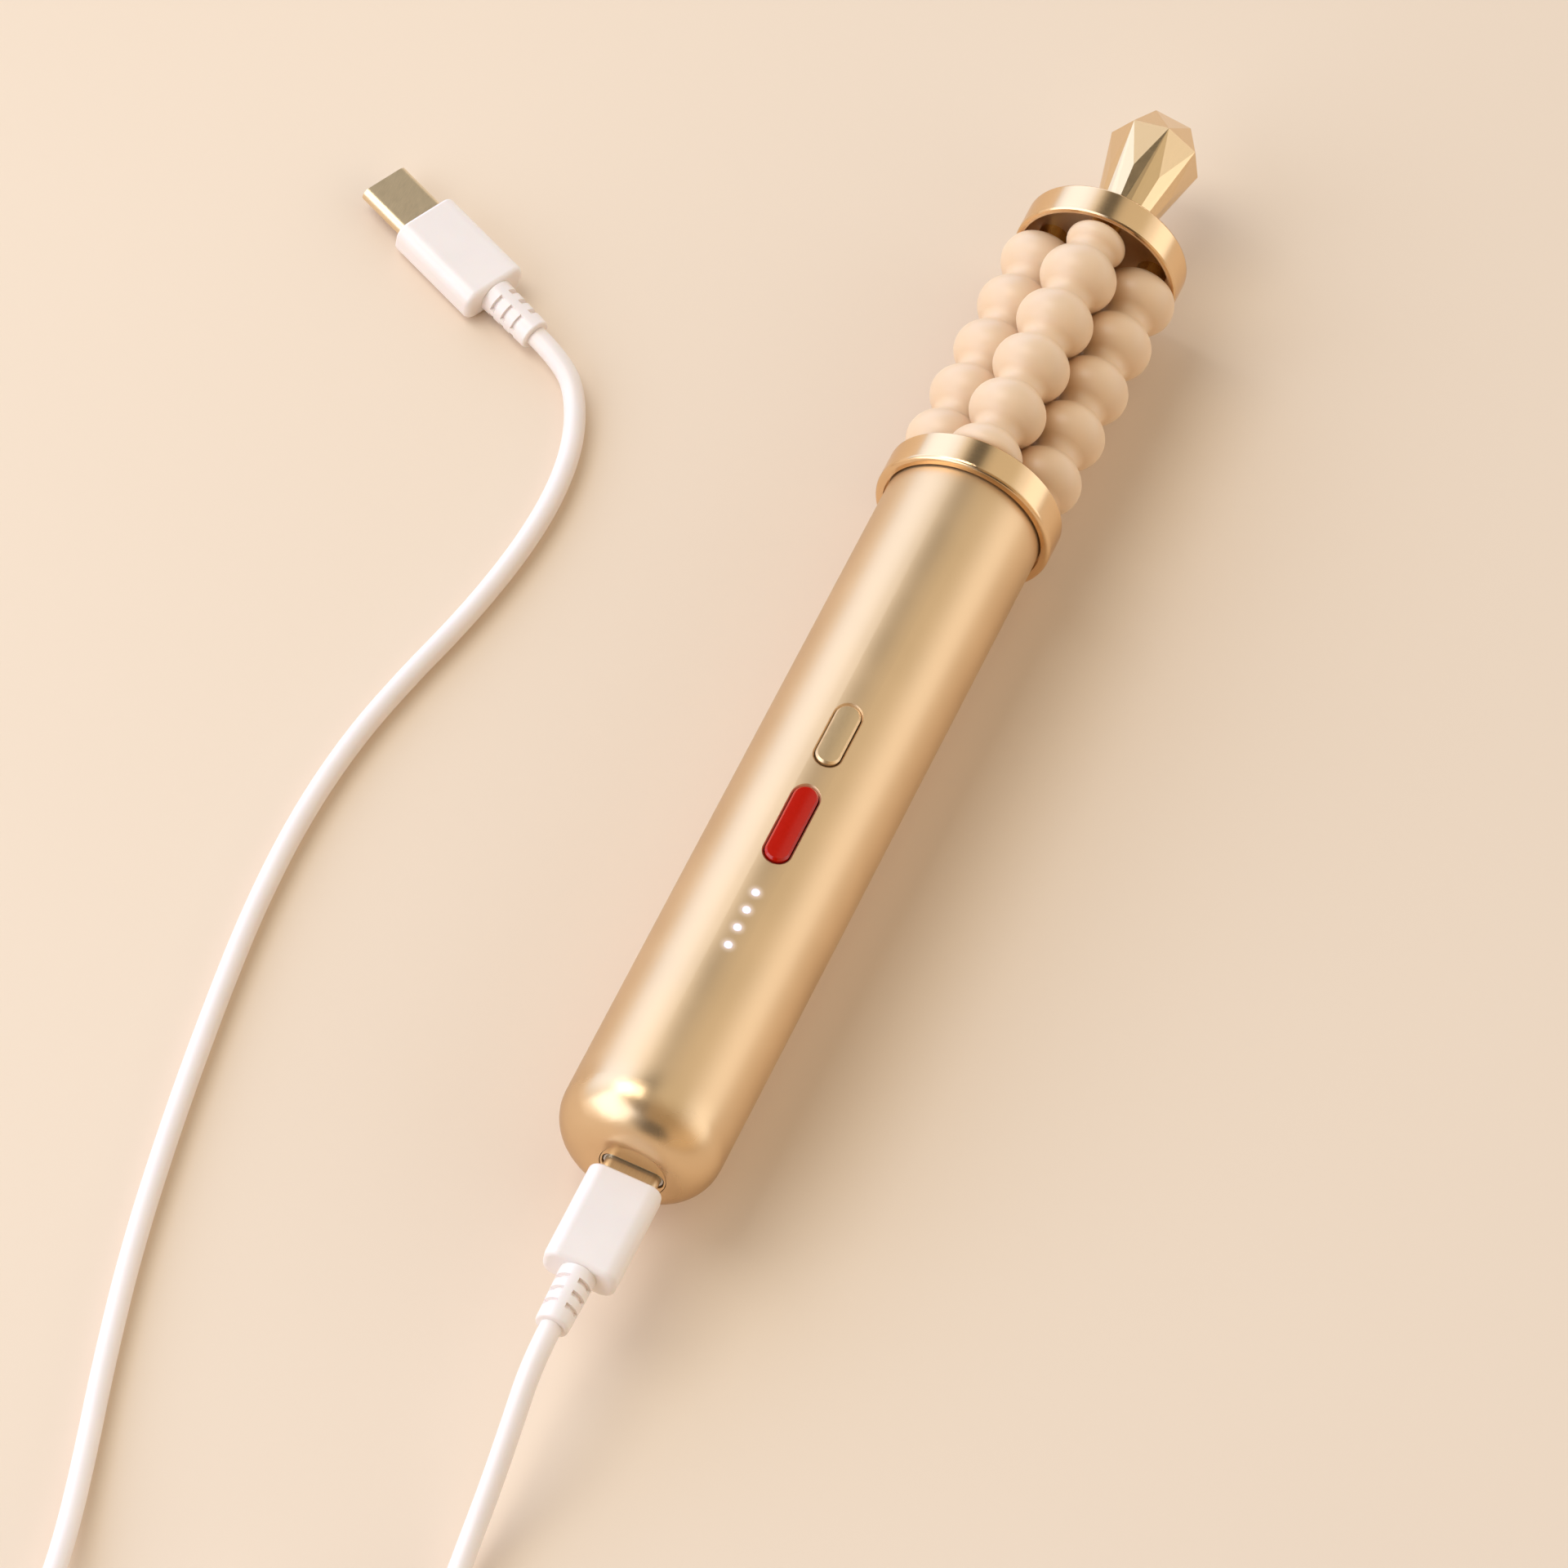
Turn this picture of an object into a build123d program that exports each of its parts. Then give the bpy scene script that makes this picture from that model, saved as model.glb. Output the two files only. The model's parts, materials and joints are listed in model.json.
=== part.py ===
from build123d import *
import math
import os

# A facial massager: a round metal handle, a turning head with four beaded
# rollers between two rings, a faceted tip, and a charging lead in its port.
# Millimetres. The handle's axis lies along +Y, the tip points to +Y and +Z is up.
# The origin lies under the middle of the massager's length, on the surface that
# the lower ring rests on. "Station" means a distance along the axis from the
# handle's round end.

# handle tube
TUBE_DIAMETER = 24.0
TUBE_WALL = 1.2
HANDLE_LENGTH = 123.0  # from the round end to the lower ring's rim
END_ROUNDING = 6.8
END_WALL = 1.6
TUBE_INTO_RING = 1.1

# rings of the head
LOWER_RING_DIAMETER = 27.2
LOWER_RING_HEIGHT = 5.2
UPPER_RING_DIAMETER = 25.4
UPPER_RING_HEIGHT = 5.0
LOWER_RING_WALL = 1.2
UPPER_RING_WALL = 0.9
WEB_THICKNESS = 1.4
PLATE_THICKNESS = 1.6
RUNNING_GAP = 0.3
RING_LIP = 0.7
RING_INNER_EDGE = 0.25
UPPER_RING_EDGE = 0.35
UPPER_RING_INNER_EDGE = 0.2
HUB_WALL = 0.8

# beaded rollers
ROLLER_SPACE = 46.8  # between the two rings
ROLLER_CIRCLE = 7.75  # radius at which the four axles stand
ROLLER_COUNT = 4
ROLLER_END_PLAY = 0.15
BEAD_RADIUS = 5.75
NECK_RADIUS = 3.4
BEAD_PITCH = 9.2
BEAD_COUNT = 4
BEAD_ROUND = 4.0  # radius of a bead's convex arc
UPPER_SMALL_END = 3.9  # length of the small end bead, on rollers that have it at the tip's side
LOWER_SMALL_END = 2.4  # and on those that have it at the handle's side
SMALL_END_RADIUS = 4.5
SMALL_END_ROUND = 1.7
SMALL_NECK_ROUND = 1.4
LARGE_END_EDGE = 1.3
AXLE_DIAMETER = 2.0
AXLE_CLEARANCE = 0.15
AXLE_SEAT = 1.0
BUSH_RADIUS = 2.3
HEAD_REST_TURN = -4.0  # degrees about the axis, seen from the handle

# faceted tip: station above the plate and corner radius of each row
TIP_LENGTH = 24.6
TIP_TABLE_RADIUS = 4.1
TIP_GIRDLE_STATION = 19.3
TIP_GIRDLE_RADIUS = 7.2
TIP_MIDDLE_STATION = 11.8
TIP_MIDDLE_RADIUS = 5.55
TIP_NECK_STATION = 5.3
TIP_NECK_RADIUS = 4.2
TIP_BASE_RADIUS = 3.2
TIP_REST_TURN = 7.5  # degrees, so that a girdle corner faces the viewer as in the photo
TIP_THREAD_DEPTH = 6.5
TIP_THREAD_SPARE = 0.5

# drive
SHAFT_DIAMETER = 3.0
STEM_DIAMETER = 2.6
SHAFT_FIT = 0.02
BEARING_DIAMETER = 10.0
BEARING_HEIGHT = 4.0
BEARING_LEDGE = 1.0
BEARING_BALLS = 7
BALL_DIAMETER = 1.59
BALL_GROOVE = 0.04
RACE_GAP = 1.2
BULKHEAD_HEIGHT = 6.2
BULKHEAD_FIT = 0.1
COUPLER_DIAMETER = 6.8
COUPLER_LENGTH = 8.6
COUPLER_EDGE = 0.3
SET_SCREW_SOCKET = 0.45
SET_SCREW_SOCKET_DEPTH = 0.6
SET_SCREW_DROP = 0.2
NUT_RADIUS = 2.5  # over the corners
NUT_HEIGHT = 1.7
SEAL_WIDTH = 0.7
SEAL_GAP = 0.2
MOTOR_WIDTH = 12.0
MOTOR_HEIGHT = 10.0
MOTOR_LENGTH = 15.0
GEARBOX_LENGTH = 9.0
GEARBOX_TO_COUPLER = 5.4
MOTOR_BOSS_RADIUS = 1.4
MOTOR_BOSS_HEIGHT = 0.8
MOTOR_BOSS_DROP = 1.5
GEARBOX_CORNER = 1.0
OUTPUT_SHAFT_IN_COUPLER = 4.1
OUTPUT_SHAFT_DEPTH = 3.8  # inside the gearbox
SHAFT_END_GAP = 0.3
PILLAR_RADIUS = 1.9
PILLAR_TO_BORE = 1.3  # from the pillar's outside
SCREW_RADIUS = 1.0
SCREW_HEAD_SEAT = 1.4
SCREW_HEAD_HEIGHT = 1.2
SCREW_SLOT_DEPTH = 0.5
SCREW_SLOT_WIDTH = 0.5
SCREW_LENGTH = 8.0  # beyond the bulkhead

# electronics
FRAME_CLEARANCE = 0.3
FRAME_START = 8.0
FRAME_BEHIND_GEARBOX = 2.0
BOARD_WIDTH = 14.6
BOARD_THICKNESS = 1.0
BOARD_START = 15.5
BOARD_TO_MOTOR = 4.5
BOARD_CORNER = 1.0
BUTTON_STEM_LENGTH = 0.845  # under the flange, which sets the board's height
BOARD_SCREW_ACROSS = 5.4
SMALL_SCREW_RADIUS = 0.6
SMALL_SCREW_END = 1.0  # height of its point above the axis
SMALL_HEAD_HEIGHT = 0.7
SMALL_SLOT_WIDTH = 0.3
SMALL_SLOT_DEPTH = 0.3
CLAMP_AFTER_MOTOR_START = 5.0
CLAMP_LENGTH = 6.0
CLAMP_SIDE_GAP = 0.5
CLAMP_SCREW_TO_SIDE = 1.5
CLAMP_FOOT_HALF_WIDTH = 4.0
CLAMP_THICKNESS = 0.9
CELL_DIAMETER = 14.0
CELL_AFTER_BOARD_START = 4.8
CELL_BEFORE_BOARD_END = 4.7
CELL_TO_BORE = 0.9
CELL_EDGE = 0.5
CELL_CAP_RADIUS = 2.2
CELL_CAP_HEIGHT = 0.7
PAD_HALF_WIDTH = 4.0
PAD_LENGTH = 30.0
PAD_LOW = 1.0
TAB_WIDTH = 3.0
TAB_REACH = 1.5  # below the cell's middle
TAB_THICKNESS = 0.2
CLEARANCE = 0.1
WIRE_DIAMETER = 0.9
WIRE_BEND = 1.2
WIRE_ACROSS = 2.8
WIRE_RISE = 1.8
WIRE_SET_BACK = 1.5
MOTOR_WIRE_STEP = 2.2
MOTOR_WIRE_HEIGHT = 2.0

# buttons and lights
BUTTON_WIDTH = 3.7
BUTTON_GAP = 0.15
POWER_LENGTH = 13.7
POWER_TO_MODE = 16.9  # between the two buttons' middles
MODE_LENGTH = 10.8
MODE_TO_RING = 50.9
BUTTON_PROUD = 0.35
BUTTON_TRAVEL = 0.4
BUTTON_FLANGE = 0.7
BUTTON_BEVEL = 0.3
WINDOW_BEVEL = 0.25  # of the tube's edge round a button, at 45 degrees
FLANGE_THICKNESS = 0.8
FLANGE_DROP = 0.45  # from the tube's inside
BUTTON_STEM_RADIUS = 1.25
SWITCH_SIZE = 3.2
SWITCH_HEIGHT = 1.7
PLUNGER_RADIUS = 0.85
SWITCH_FLOOR = 0.3
LIGHT_COUNT = 4
LIGHT_PITCH = 3.25
LIGHT_DIAMETER = 1.25
LIGHTS_TO_POWER = 17.8
LIGHT_GAP = 0.05
LIGHT_BAR_END = 2.4  # past the last light's middle
LIGHT_BAR_HALF_WIDTH = 1.2
LIGHT_BAR_RISE = 1.2
LIGHT_BAR_THICKNESS = 1.0
LED_WIDTH = 0.8
LED_LENGTH = 1.6
LED_HEIGHT = 0.6

# charging port: a USB type C receptacle
PORT_ACROSS = 1.3  # from the middle of the round end
PORT_OPENING_WIDTH = 9.3
PORT_OPENING_HEIGHT = 3.5
BEZEL_RADIUS = 4.9
BEZEL_GAP = 0.1
BEZEL_SEAT = 0.25  # from the end's wall to the flange inside
BEZEL_RECESS = 0.12
BEZEL_FLANGE = 0.6
BEZEL_FLANGE_THICKNESS = 0.7
PORT_OPENING_CORNER = 1.45
RECEPTACLE_WIDTH = 8.94
RECEPTACLE_HEIGHT = 3.16
RECEPTACLE_DEPTH = 8.0
RECEPTACLE_START = 0.3
RECEPTACLE_BACK = 0.3
SOCKET_WIDTH = 8.34
SOCKET_HEIGHT = 2.56
TONGUE_WIDTH = 6.69
TONGUE_THICKNESS = 0.7
TONGUE_LENGTH = 5.2
PORT_BOARD_WIDTH = 12.0
PORT_BOARD_NECK = 10.0
PORT_BOARD_START = 3.0
PORT_BOARD_END = 15.0
PORT_WIRE_START = 13.0
PORT_SHELF_HALF_WIDTH = 4.8

# plug, the same at both ends of the lead
PLUG_SHELL_WIDTH = 8.25
PLUG_SHELL_HEIGHT = 2.4
PLUG_SHELL_WALL = 0.3
PLUG_SHELL_LENGTH = 8.9
PLUG_SHELL_INSIDE = 2.0  # held in the plug's body
PLUG_SHOWN = 2.4  # bare shell between the plug's body and the handle
PLUG_MOUTH_DEPTH = 5.6
PLUG_INSULATOR_SIDE = 0.8
PLUG_WIDTH = 10.9
PLUG_HEIGHT = 5.8
PLUG_LENGTH = 16.3
PLUG_CORNER = 2.1
PLUG_FRONT_EDGE = 0.45
PLUG_REAR_EDGE = 0.9
RELIEF_DIAMETER = 5.4  # at the plug
RELIEF_END_DIAMETER = 4.9  # at the cord
RELIEF_LENGTH = 9.1
RELIEF_ROWS = 3
RELIEF_PITCH = 2.15
RELIEF_SLOT = 0.85
RELIEF_RIB = 1.3
RELIEF_SIDE_RIB = 0.9
RELIEF_SLOT_DEPTH = 0.65
RELIEF_EDGE = 0.4

# cord
CORD_DIAMETER = 3.2
COIL_RADIUS = 26.0  # outermost half turn
COIL_PITCH = 3.7
COIL_CLIMB = 3.65
COIL_LOWER_HALF_TURNS = 5  # winding in, on the surface
COIL_UPPER_HALF_TURNS = 3  # winding out again, on top
COIL_CENTRE = (-16.7, -213.0)
TIE_THICKNESS = 0.5
TIE_WIDTH = 5.0
TIE_GAP = 0.1
TIE_SIDE_GAP = 0.2
TIE_CORNER = 1.2
FAR_END = (-69.8, 29.2)  # where the cord enters the far strain relief
FAR_TURN = 65.0  # degrees, the far plug's direction from +Y

# shared by several pieces
FINE_GAP = 0.05
CORNER_SHORT = 0.05  # a flat-sided oval's corners stay this far from half its height
PAST = 1.0  # how far a cutting shape runs past what it cuts

# worked out from the sizes above
TUBE_RADIUS = TUBE_DIAMETER / 2
BORE_RADIUS = TUBE_RADIUS - TUBE_WALL
TUBE_END = HANDLE_LENGTH + TUBE_INTO_RING
WEB_START = TUBE_END + RUNNING_GAP
WEB_END = WEB_START + WEB_THICKNESS
ROLLERS_START = HANDLE_LENGTH + LOWER_RING_HEIGHT
ROLLERS_END = ROLLERS_START + ROLLER_SPACE
PLATE_END = ROLLERS_END + UPPER_RING_HEIGHT
PLATE_START = PLATE_END - PLATE_THICKNESS
TOTAL_LENGTH = PLATE_END + TIP_LENGTH
MIDDLE = TOTAL_LENGTH / 2
AXIS_HEIGHT = LOWER_RING_DIAMETER / 2
SHAFT_RADIUS = SHAFT_DIAMETER / 2
STEM_RADIUS = STEM_DIAMETER / 2
BULKHEAD_END = TUBE_END - RUNNING_GAP
BULKHEAD_START = BULKHEAD_END - BULKHEAD_HEIGHT
BEARING_START = BULKHEAD_END - BEARING_HEIGHT
BEARING_MIDDLE = (BEARING_START + BULKHEAD_END) / 2
BEARING_PITCH = (BEARING_DIAMETER / 2 + SHAFT_RADIUS) / 2
COUPLER_END = BULKHEAD_START - CLEARANCE
COUPLER_START = COUPLER_END - COUPLER_LENGTH
PILLAR_ACROSS = BORE_RADIUS - PILLAR_TO_BORE - PILLAR_RADIUS
GEARBOX_END = COUPLER_START - GEARBOX_TO_COUPLER
GEARBOX_START = GEARBOX_END - GEARBOX_LENGTH
MOTOR_START = GEARBOX_START - MOTOR_LENGTH
OUTPUT_SHAFT_END = COUPLER_START + OUTPUT_SHAFT_IN_COUPLER
FRAME_END = GEARBOX_END + FRAME_BEHIND_GEARBOX
CLAMP_START = MOTOR_START + CLAMP_AFTER_MOTOR_START
CLAMP_END = CLAMP_START + CLAMP_LENGTH
OUTSIDE = TUBE_RADIUS + PAST
FRAME_RADIUS = BORE_RADIUS - FRAME_CLEARANCE
BOARD_END = MOTOR_START - BOARD_TO_MOTOR
CELL_START = BOARD_START + CELL_AFTER_BOARD_START
CELL_END = BOARD_END - CELL_BEFORE_BOARD_END
CELL_DROP = BORE_RADIUS - CELL_TO_BORE - CELL_DIAMETER / 2
MODE_STATION = HANDLE_LENGTH - MODE_TO_RING
POWER_STATION = MODE_STATION - POWER_TO_MODE
LIGHT_STATION = POWER_STATION - LIGHTS_TO_POWER
PORT_BOARD_TOP = -RECEPTACLE_HEIGHT / 2
SOCKET_BACK = RECEPTACLE_DEPTH - RECEPTACLE_BACK
FLANGE_TOP = math.sqrt(BORE_RADIUS**2 - (BUTTON_WIDTH / 2 + BUTTON_FLANGE) ** 2) - FLANGE_DROP
FLANGE_BOTTOM = FLANGE_TOP - FLANGE_THICKNESS
PLUNGER_TOP = FLANGE_BOTTOM - BUTTON_STEM_LENGTH
BOARD_TOP = PLUNGER_TOP - SWITCH_HEIGHT - BUTTON_TRAVEL - CLEARANCE
BOARD_HEIGHT = BOARD_TOP - BOARD_THICKNESS
CLAMP_TOP = BOARD_HEIGHT + CLAMP_THICKNESS
CLAMP_HALF_WIDTH = math.sqrt(BORE_RADIUS**2 - CLAMP_TOP**2) - CLAMP_SIDE_GAP
CLAMP_SCREW_ACROSS = CLAMP_HALF_WIDTH - CLAMP_SCREW_TO_SIDE
CORD_RADIUS = CORD_DIAMETER / 2
COIL_LOW = TIE_THICKNESS + TIE_GAP + CORD_RADIUS
COIL_HIGH = COIL_LOW + COIL_CLIMB
PLUG_REAR = PLUG_LENGTH + RELIEF_LENGTH
CORD_EXIT = (PORT_ACROSS, -MIDDLE - PLUG_SHOWN - PLUG_REAR, AXIS_HEIGHT)
NEAR_PLUG = Pos(PORT_ACROSS, -MIDDLE - PLUG_SHOWN, AXIS_HEIGHT)
FAR_DIRECTION = (-math.sin(math.radians(FAR_TURN)), math.cos(math.radians(FAR_TURN)))


# Helpers. Stations run along +Y from the round end; heights are above the axis.


def placed(shape):
    """Moves a shape built about the origin's Y axis to the massager's axis."""
    return Pos(0, -MIDDLE, AXIS_HEIGHT) * shape


def rod(start, end, radius, across=0.0, height=0.0):
    middle = Pos(across, (start + end) / 2, height)
    return placed(middle * Rot(90, 0, 0) * Cylinder(radius, end - start))


def ring(start, end, outer, inner):
    return rod(start, end, outer) - rod(start - PAST, end + PAST, inner)


def block(across_0, across_1, start, end, low, high):
    middle = Pos((across_0 + across_1) / 2, (start + end) / 2, (low + high) / 2)
    return placed(middle * Box(across_1 - across_0, end - start, high - low))


def post(station, across, low, high, radius):
    """An upright round post."""
    return placed(Pos(across, station, (low + high) / 2) * Cylinder(radius, high - low))


def upright(sketch, station, low, high):
    """A flat shape at a station, pulled up from one height to another."""
    return placed(Pos(0, station, low) * extrude(sketch, amount=high - low))


def along(sketch, start, end):
    """A cross-section pulled along the axis, about the origin's Y axis."""
    return extrude(Plane.XZ.offset(-end) * sketch, amount=end - start)


def turned(edges):
    """A closed outline with radius along X and station along Y, turned about Y."""
    return revolve(make_face(edges), Axis.Y)


def polar(angle, radius):
    """Across and height of a point on a circle about the axis, from straight up."""
    turn = math.radians(angle)
    return radius * math.sin(turn), radius * math.cos(turn)


def corner_radius(before, corner, after, share=0.45):
    """The radius that a corner of a cord's route takes from its shorter run."""
    run = min((corner - before).length, (after - corner).length)
    turn = (corner - before).get_angle(after - corner)
    return share * run / math.tan(math.radians(turn / 2))


def cord_tube(points, name, radius=CORD_RADIUS):
    """A tube along straight runs that are joined by tangent arcs."""
    route = [Vector(*point) for point in points]
    radii = [corner_radius(*route[i - 1 : i + 2]) for i in range(1, len(route) - 1)]
    path = FilletPolyline(*route, radius=radii)
    tube = sweep(Plane(path @ 0, z_dir=path % 0) * Circle(radius), path=path)
    expected = math.pi * radius**2 * path.length
    print(name, "length", round(path.length, 1), "volume share", round(tube.volume / expected, 4))
    print(name, "radii", [round(value, 1) for value in radii])
    return tube


# Handle


def slot(length, width, station, low, high):
    return upright(SlotOverall(length, width, rotation=90), station, low, high)


def window_bevel(length, width, station):
    """A cutter that widens a button's window towards the outside."""
    side_top = math.sqrt(TUBE_RADIUS**2 - (width / 2) ** 2)
    low = side_top - WINDOW_BEVEL
    sketch = SlotOverall(length, width, rotation=90)
    return placed(Pos(0, station, low) * extrude(sketch, amount=TUBE_RADIUS + PAST - low, taper=-45))


def handle_tube():
    """The deep-drawn tube: rounded end, port hole, button slots and light holes."""
    outer_start = TUBE_RADIUS - END_ROUNDING
    inner_round = END_ROUNDING - TUBE_WALL
    inner_start = BORE_RADIUS - inner_round
    outline = [
        Line((0, 0), (outer_start, 0)),
        CenterArc((outer_start, END_ROUNDING), END_ROUNDING, -90, 90),
        Line((TUBE_RADIUS, END_ROUNDING), (TUBE_RADIUS, TUBE_END)),
        Line((TUBE_RADIUS, TUBE_END), (BORE_RADIUS, TUBE_END)),
        Line((BORE_RADIUS, TUBE_END), (BORE_RADIUS, END_WALL + inner_round)),
        CenterArc((inner_start, END_WALL + inner_round), inner_round, -90, 90),
        Line((inner_start, END_WALL), (0, END_WALL)),
        Line((0, END_WALL), (0, 0)),
    ]
    tube = placed(turned(outline))
    tube -= rod(-PAST, END_WALL + PAST, BEZEL_RADIUS + BEZEL_GAP, PORT_ACROSS)
    width = BUTTON_WIDTH + 2 * BUTTON_GAP
    for length, station in ((POWER_LENGTH, POWER_STATION), (MODE_LENGTH, MODE_STATION)):
        tube -= slot(length + 2 * BUTTON_GAP, width, station, BORE_RADIUS / 2, OUTSIDE)
        tube -= window_bevel(length + 2 * BUTTON_GAP, width, station)
    for station in light_stations():
        tube -= post(station, 0, BORE_RADIUS / 2, OUTSIDE, LIGHT_DIAMETER / 2 + LIGHT_GAP)
    return tube


def light_stations():
    first = LIGHT_STATION - LIGHT_PITCH * (LIGHT_COUNT - 1) / 2
    return [first + LIGHT_PITCH * i for i in range(LIGHT_COUNT)]


def button(length, station):
    """A button cap that follows the tube, its flange inside and its stem."""
    cap = slot(length, BUTTON_WIDTH, station, FLANGE_BOTTOM, OUTSIDE)
    cap &= rod(station - length, station + length, TUBE_RADIUS + BUTTON_PROUD)
    top = cap.faces().sort_by(Axis.Z)[-1]
    cap = chamfer(top.edges(), BUTTON_BEVEL)
    spread = 2 * BUTTON_FLANGE
    flange = slot(length + spread, BUTTON_WIDTH + spread, station, FLANGE_BOTTOM, FLANGE_TOP)
    stem = post(station, 0, PLUNGER_TOP, FLANGE_BOTTOM, BUTTON_STEM_RADIUS)
    return cap + flange + stem


def switch(station):
    half = SWITCH_SIZE / 2
    top = BOARD_TOP + SWITCH_HEIGHT
    body = block(-half, half, station - half, station + half, BOARD_TOP, top)
    return body - post(station, 0, BOARD_TOP + SWITCH_FLOOR, top + PAST, PLUNGER_RADIUS + FINE_GAP)


def plunger(station):
    low = BOARD_TOP + SWITCH_FLOOR + BUTTON_TRAVEL + CLEARANCE
    return post(station, 0, low, PLUNGER_TOP, PLUNGER_RADIUS)


def light_guide():
    """One clear piece: a bar on two legs with a pin up to each light hole."""
    half = LIGHT_PITCH * (LIGHT_COUNT - 1) / 2 + LIGHT_BAR_END
    side = LIGHT_BAR_HALF_WIDTH
    start, end = LIGHT_STATION - half, LIGHT_STATION + half
    bar_low = BOARD_TOP + LIGHT_BAR_RISE
    bar_high = bar_low + LIGHT_BAR_THICKNESS
    guide = block(-side, side, start, end, bar_low, bar_high)
    for leg in (start, end - LIGHT_BAR_RISE):
        guide += block(-side, side, leg, leg + LIGHT_BAR_RISE, BOARD_TOP, bar_low)
    for station in light_stations():
        guide += post(station, 0, bar_high, TUBE_RADIUS, LIGHT_DIAMETER / 2)
    return guide


def indicator_leds():
    side, half = LED_WIDTH / 2, LED_LENGTH / 2
    top = BOARD_TOP + LED_HEIGHT
    chips = [block(-side, side, y - half, y + half, BOARD_TOP, top) for y in light_stations()]
    return Compound(children=chips)


# Port


def port_placed(shape):
    """Moves a shape built about the origin's Y axis to the port's axis."""
    return placed(Pos(PORT_ACROSS, 0, 0) * shape)


def port_block(half_width, start, end, low, high):
    return block(PORT_ACROSS - half_width, PORT_ACROSS + half_width, start, end, low, high)


def port_bezel():
    """The insert in the round end, with the port's opening and a flange inside."""
    flange_start = END_WALL + BEZEL_SEAT
    flange_end = flange_start + BEZEL_FLANGE_THICKNESS
    bezel = rod(BEZEL_RECESS, flange_start, BEZEL_RADIUS, PORT_ACROSS)
    bezel += rod(flange_start, flange_end, BEZEL_RADIUS + BEZEL_FLANGE, PORT_ACROSS)
    opening = RectangleRounded(PORT_OPENING_WIDTH, PORT_OPENING_HEIGHT, PORT_OPENING_CORNER)
    return bezel - port_placed(along(opening, -PAST, flange_end + PAST))


def flat_oval(width, height):
    """The rounded outline of a USB type C shell."""
    return RectangleRounded(width, height, height / 2 - CORNER_SHORT)


def usb_receptacle():
    end = RECEPTACLE_START + RECEPTACLE_DEPTH
    shell = along(flat_oval(RECEPTACLE_WIDTH, RECEPTACLE_HEIGHT), RECEPTACLE_START, end)
    return port_placed(shell - along(flat_oval(SOCKET_WIDTH, SOCKET_HEIGHT), 0, SOCKET_BACK))


def usb_tongue():
    half = TONGUE_THICKNESS / 2
    return port_block(TONGUE_WIDTH / 2, SOCKET_BACK - TONGUE_LENGTH, SOCKET_BACK, -half, half)


def port_board():
    low = PORT_BOARD_TOP - BOARD_THICKNESS
    board = port_block(PORT_BOARD_WIDTH / 2, FRAME_START, PORT_BOARD_END, low, PORT_BOARD_TOP)
    return board + port_block(PORT_BOARD_NECK / 2, PORT_BOARD_START, FRAME_START, low, PORT_BOARD_TOP)


# Inside the handle


def inner_frame():
    """The moulded carrier: lands for the boards, pockets for cell and motor, pillars."""
    frame = rod(FRAME_START, FRAME_END, FRAME_RADIUS)
    frame -= block(-OUTSIDE, OUTSIDE, 0, TOTAL_LENGTH, BOARD_HEIGHT, OUTSIDE)
    cell_radius = CELL_DIAMETER / 2 + CLEARANCE
    start = CELL_START - TAB_THICKNESS - CLEARANCE
    end = CELL_END + TAB_THICKNESS + CLEARANCE
    frame -= rod(start, end, cell_radius, height=-CELL_DROP)
    frame -= block(-cell_radius, cell_radius, start, end, -CELL_DROP, OUTSIDE)
    shelf_top = PORT_BOARD_TOP - BOARD_THICKNESS
    shelf_low = shelf_top - BOARD_THICKNESS
    frame -= port_block(PORT_BOARD_WIDTH / 2 + CLEARANCE, 0, BOARD_START, shelf_top, OUTSIDE)
    frame += port_block(PORT_SHELF_HALF_WIDTH, PORT_BOARD_START, FRAME_START, shelf_low, shelf_top)
    half = MOTOR_WIDTH / 2 + CLEARANCE
    frame -= block(-half, half, BOARD_END, FRAME_END + PAST, -MOTOR_HEIGHT / 2, OUTSIDE)
    for across in (-PILLAR_ACROSS, PILLAR_ACROSS):
        frame += rod(FRAME_END, BULKHEAD_START, PILLAR_RADIUS, across)
        hole_start = BULKHEAD_START - SCREW_LENGTH - PAST
        frame -= rod(hole_start, BULKHEAD_START + PAST, SCREW_RADIUS + SHAFT_FIT, across)
    for station, across in board_screw_places() + clamp_screw_places():
        hole_end = SMALL_SCREW_END - CLEARANCE
        frame -= post(station, across, hole_end, OUTSIDE, SMALL_SCREW_RADIUS + SHAFT_FIT)
    return frame


def board_screw_places():
    front = (BOARD_START + CELL_START - TAB_THICKNESS) / 2
    rear = (CELL_END + BOARD_END) / 2
    side = BOARD_SCREW_ACROSS
    return [(station, across) for station in (front, rear) for across in (-side, side)]


def clamp_screw_places():
    middle = (CLAMP_START + CLAMP_END) / 2
    return [(middle, -CLAMP_SCREW_ACROSS), (middle, CLAMP_SCREW_ACROSS)]


def small_screw(station, across, seat):
    """A slotted screw whose head lies on a seat."""
    top = seat + SMALL_HEAD_HEIGHT
    reach, half = 2 * SMALL_SCREW_RADIUS, SMALL_SLOT_WIDTH / 2
    screw = post(station, across, seat, top, reach)
    screw -= block(
        across - reach, across + reach, station - half, station + half, top - SMALL_SLOT_DEPTH, top
    )
    return screw + post(station, across, SMALL_SCREW_END, seat, SMALL_SCREW_RADIUS)


def main_board():
    half = BOARD_WIDTH / 2
    board = block(-half, half, BOARD_START, BOARD_END, BOARD_HEIGHT, BOARD_TOP)
    board = fillet(board.edges().filter_by(Axis.Z), BOARD_CORNER)
    for station, across in board_screw_places():
        board -= post(station, across, 0, OUTSIDE, SMALL_SCREW_RADIUS + CLEARANCE)
    return board


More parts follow.
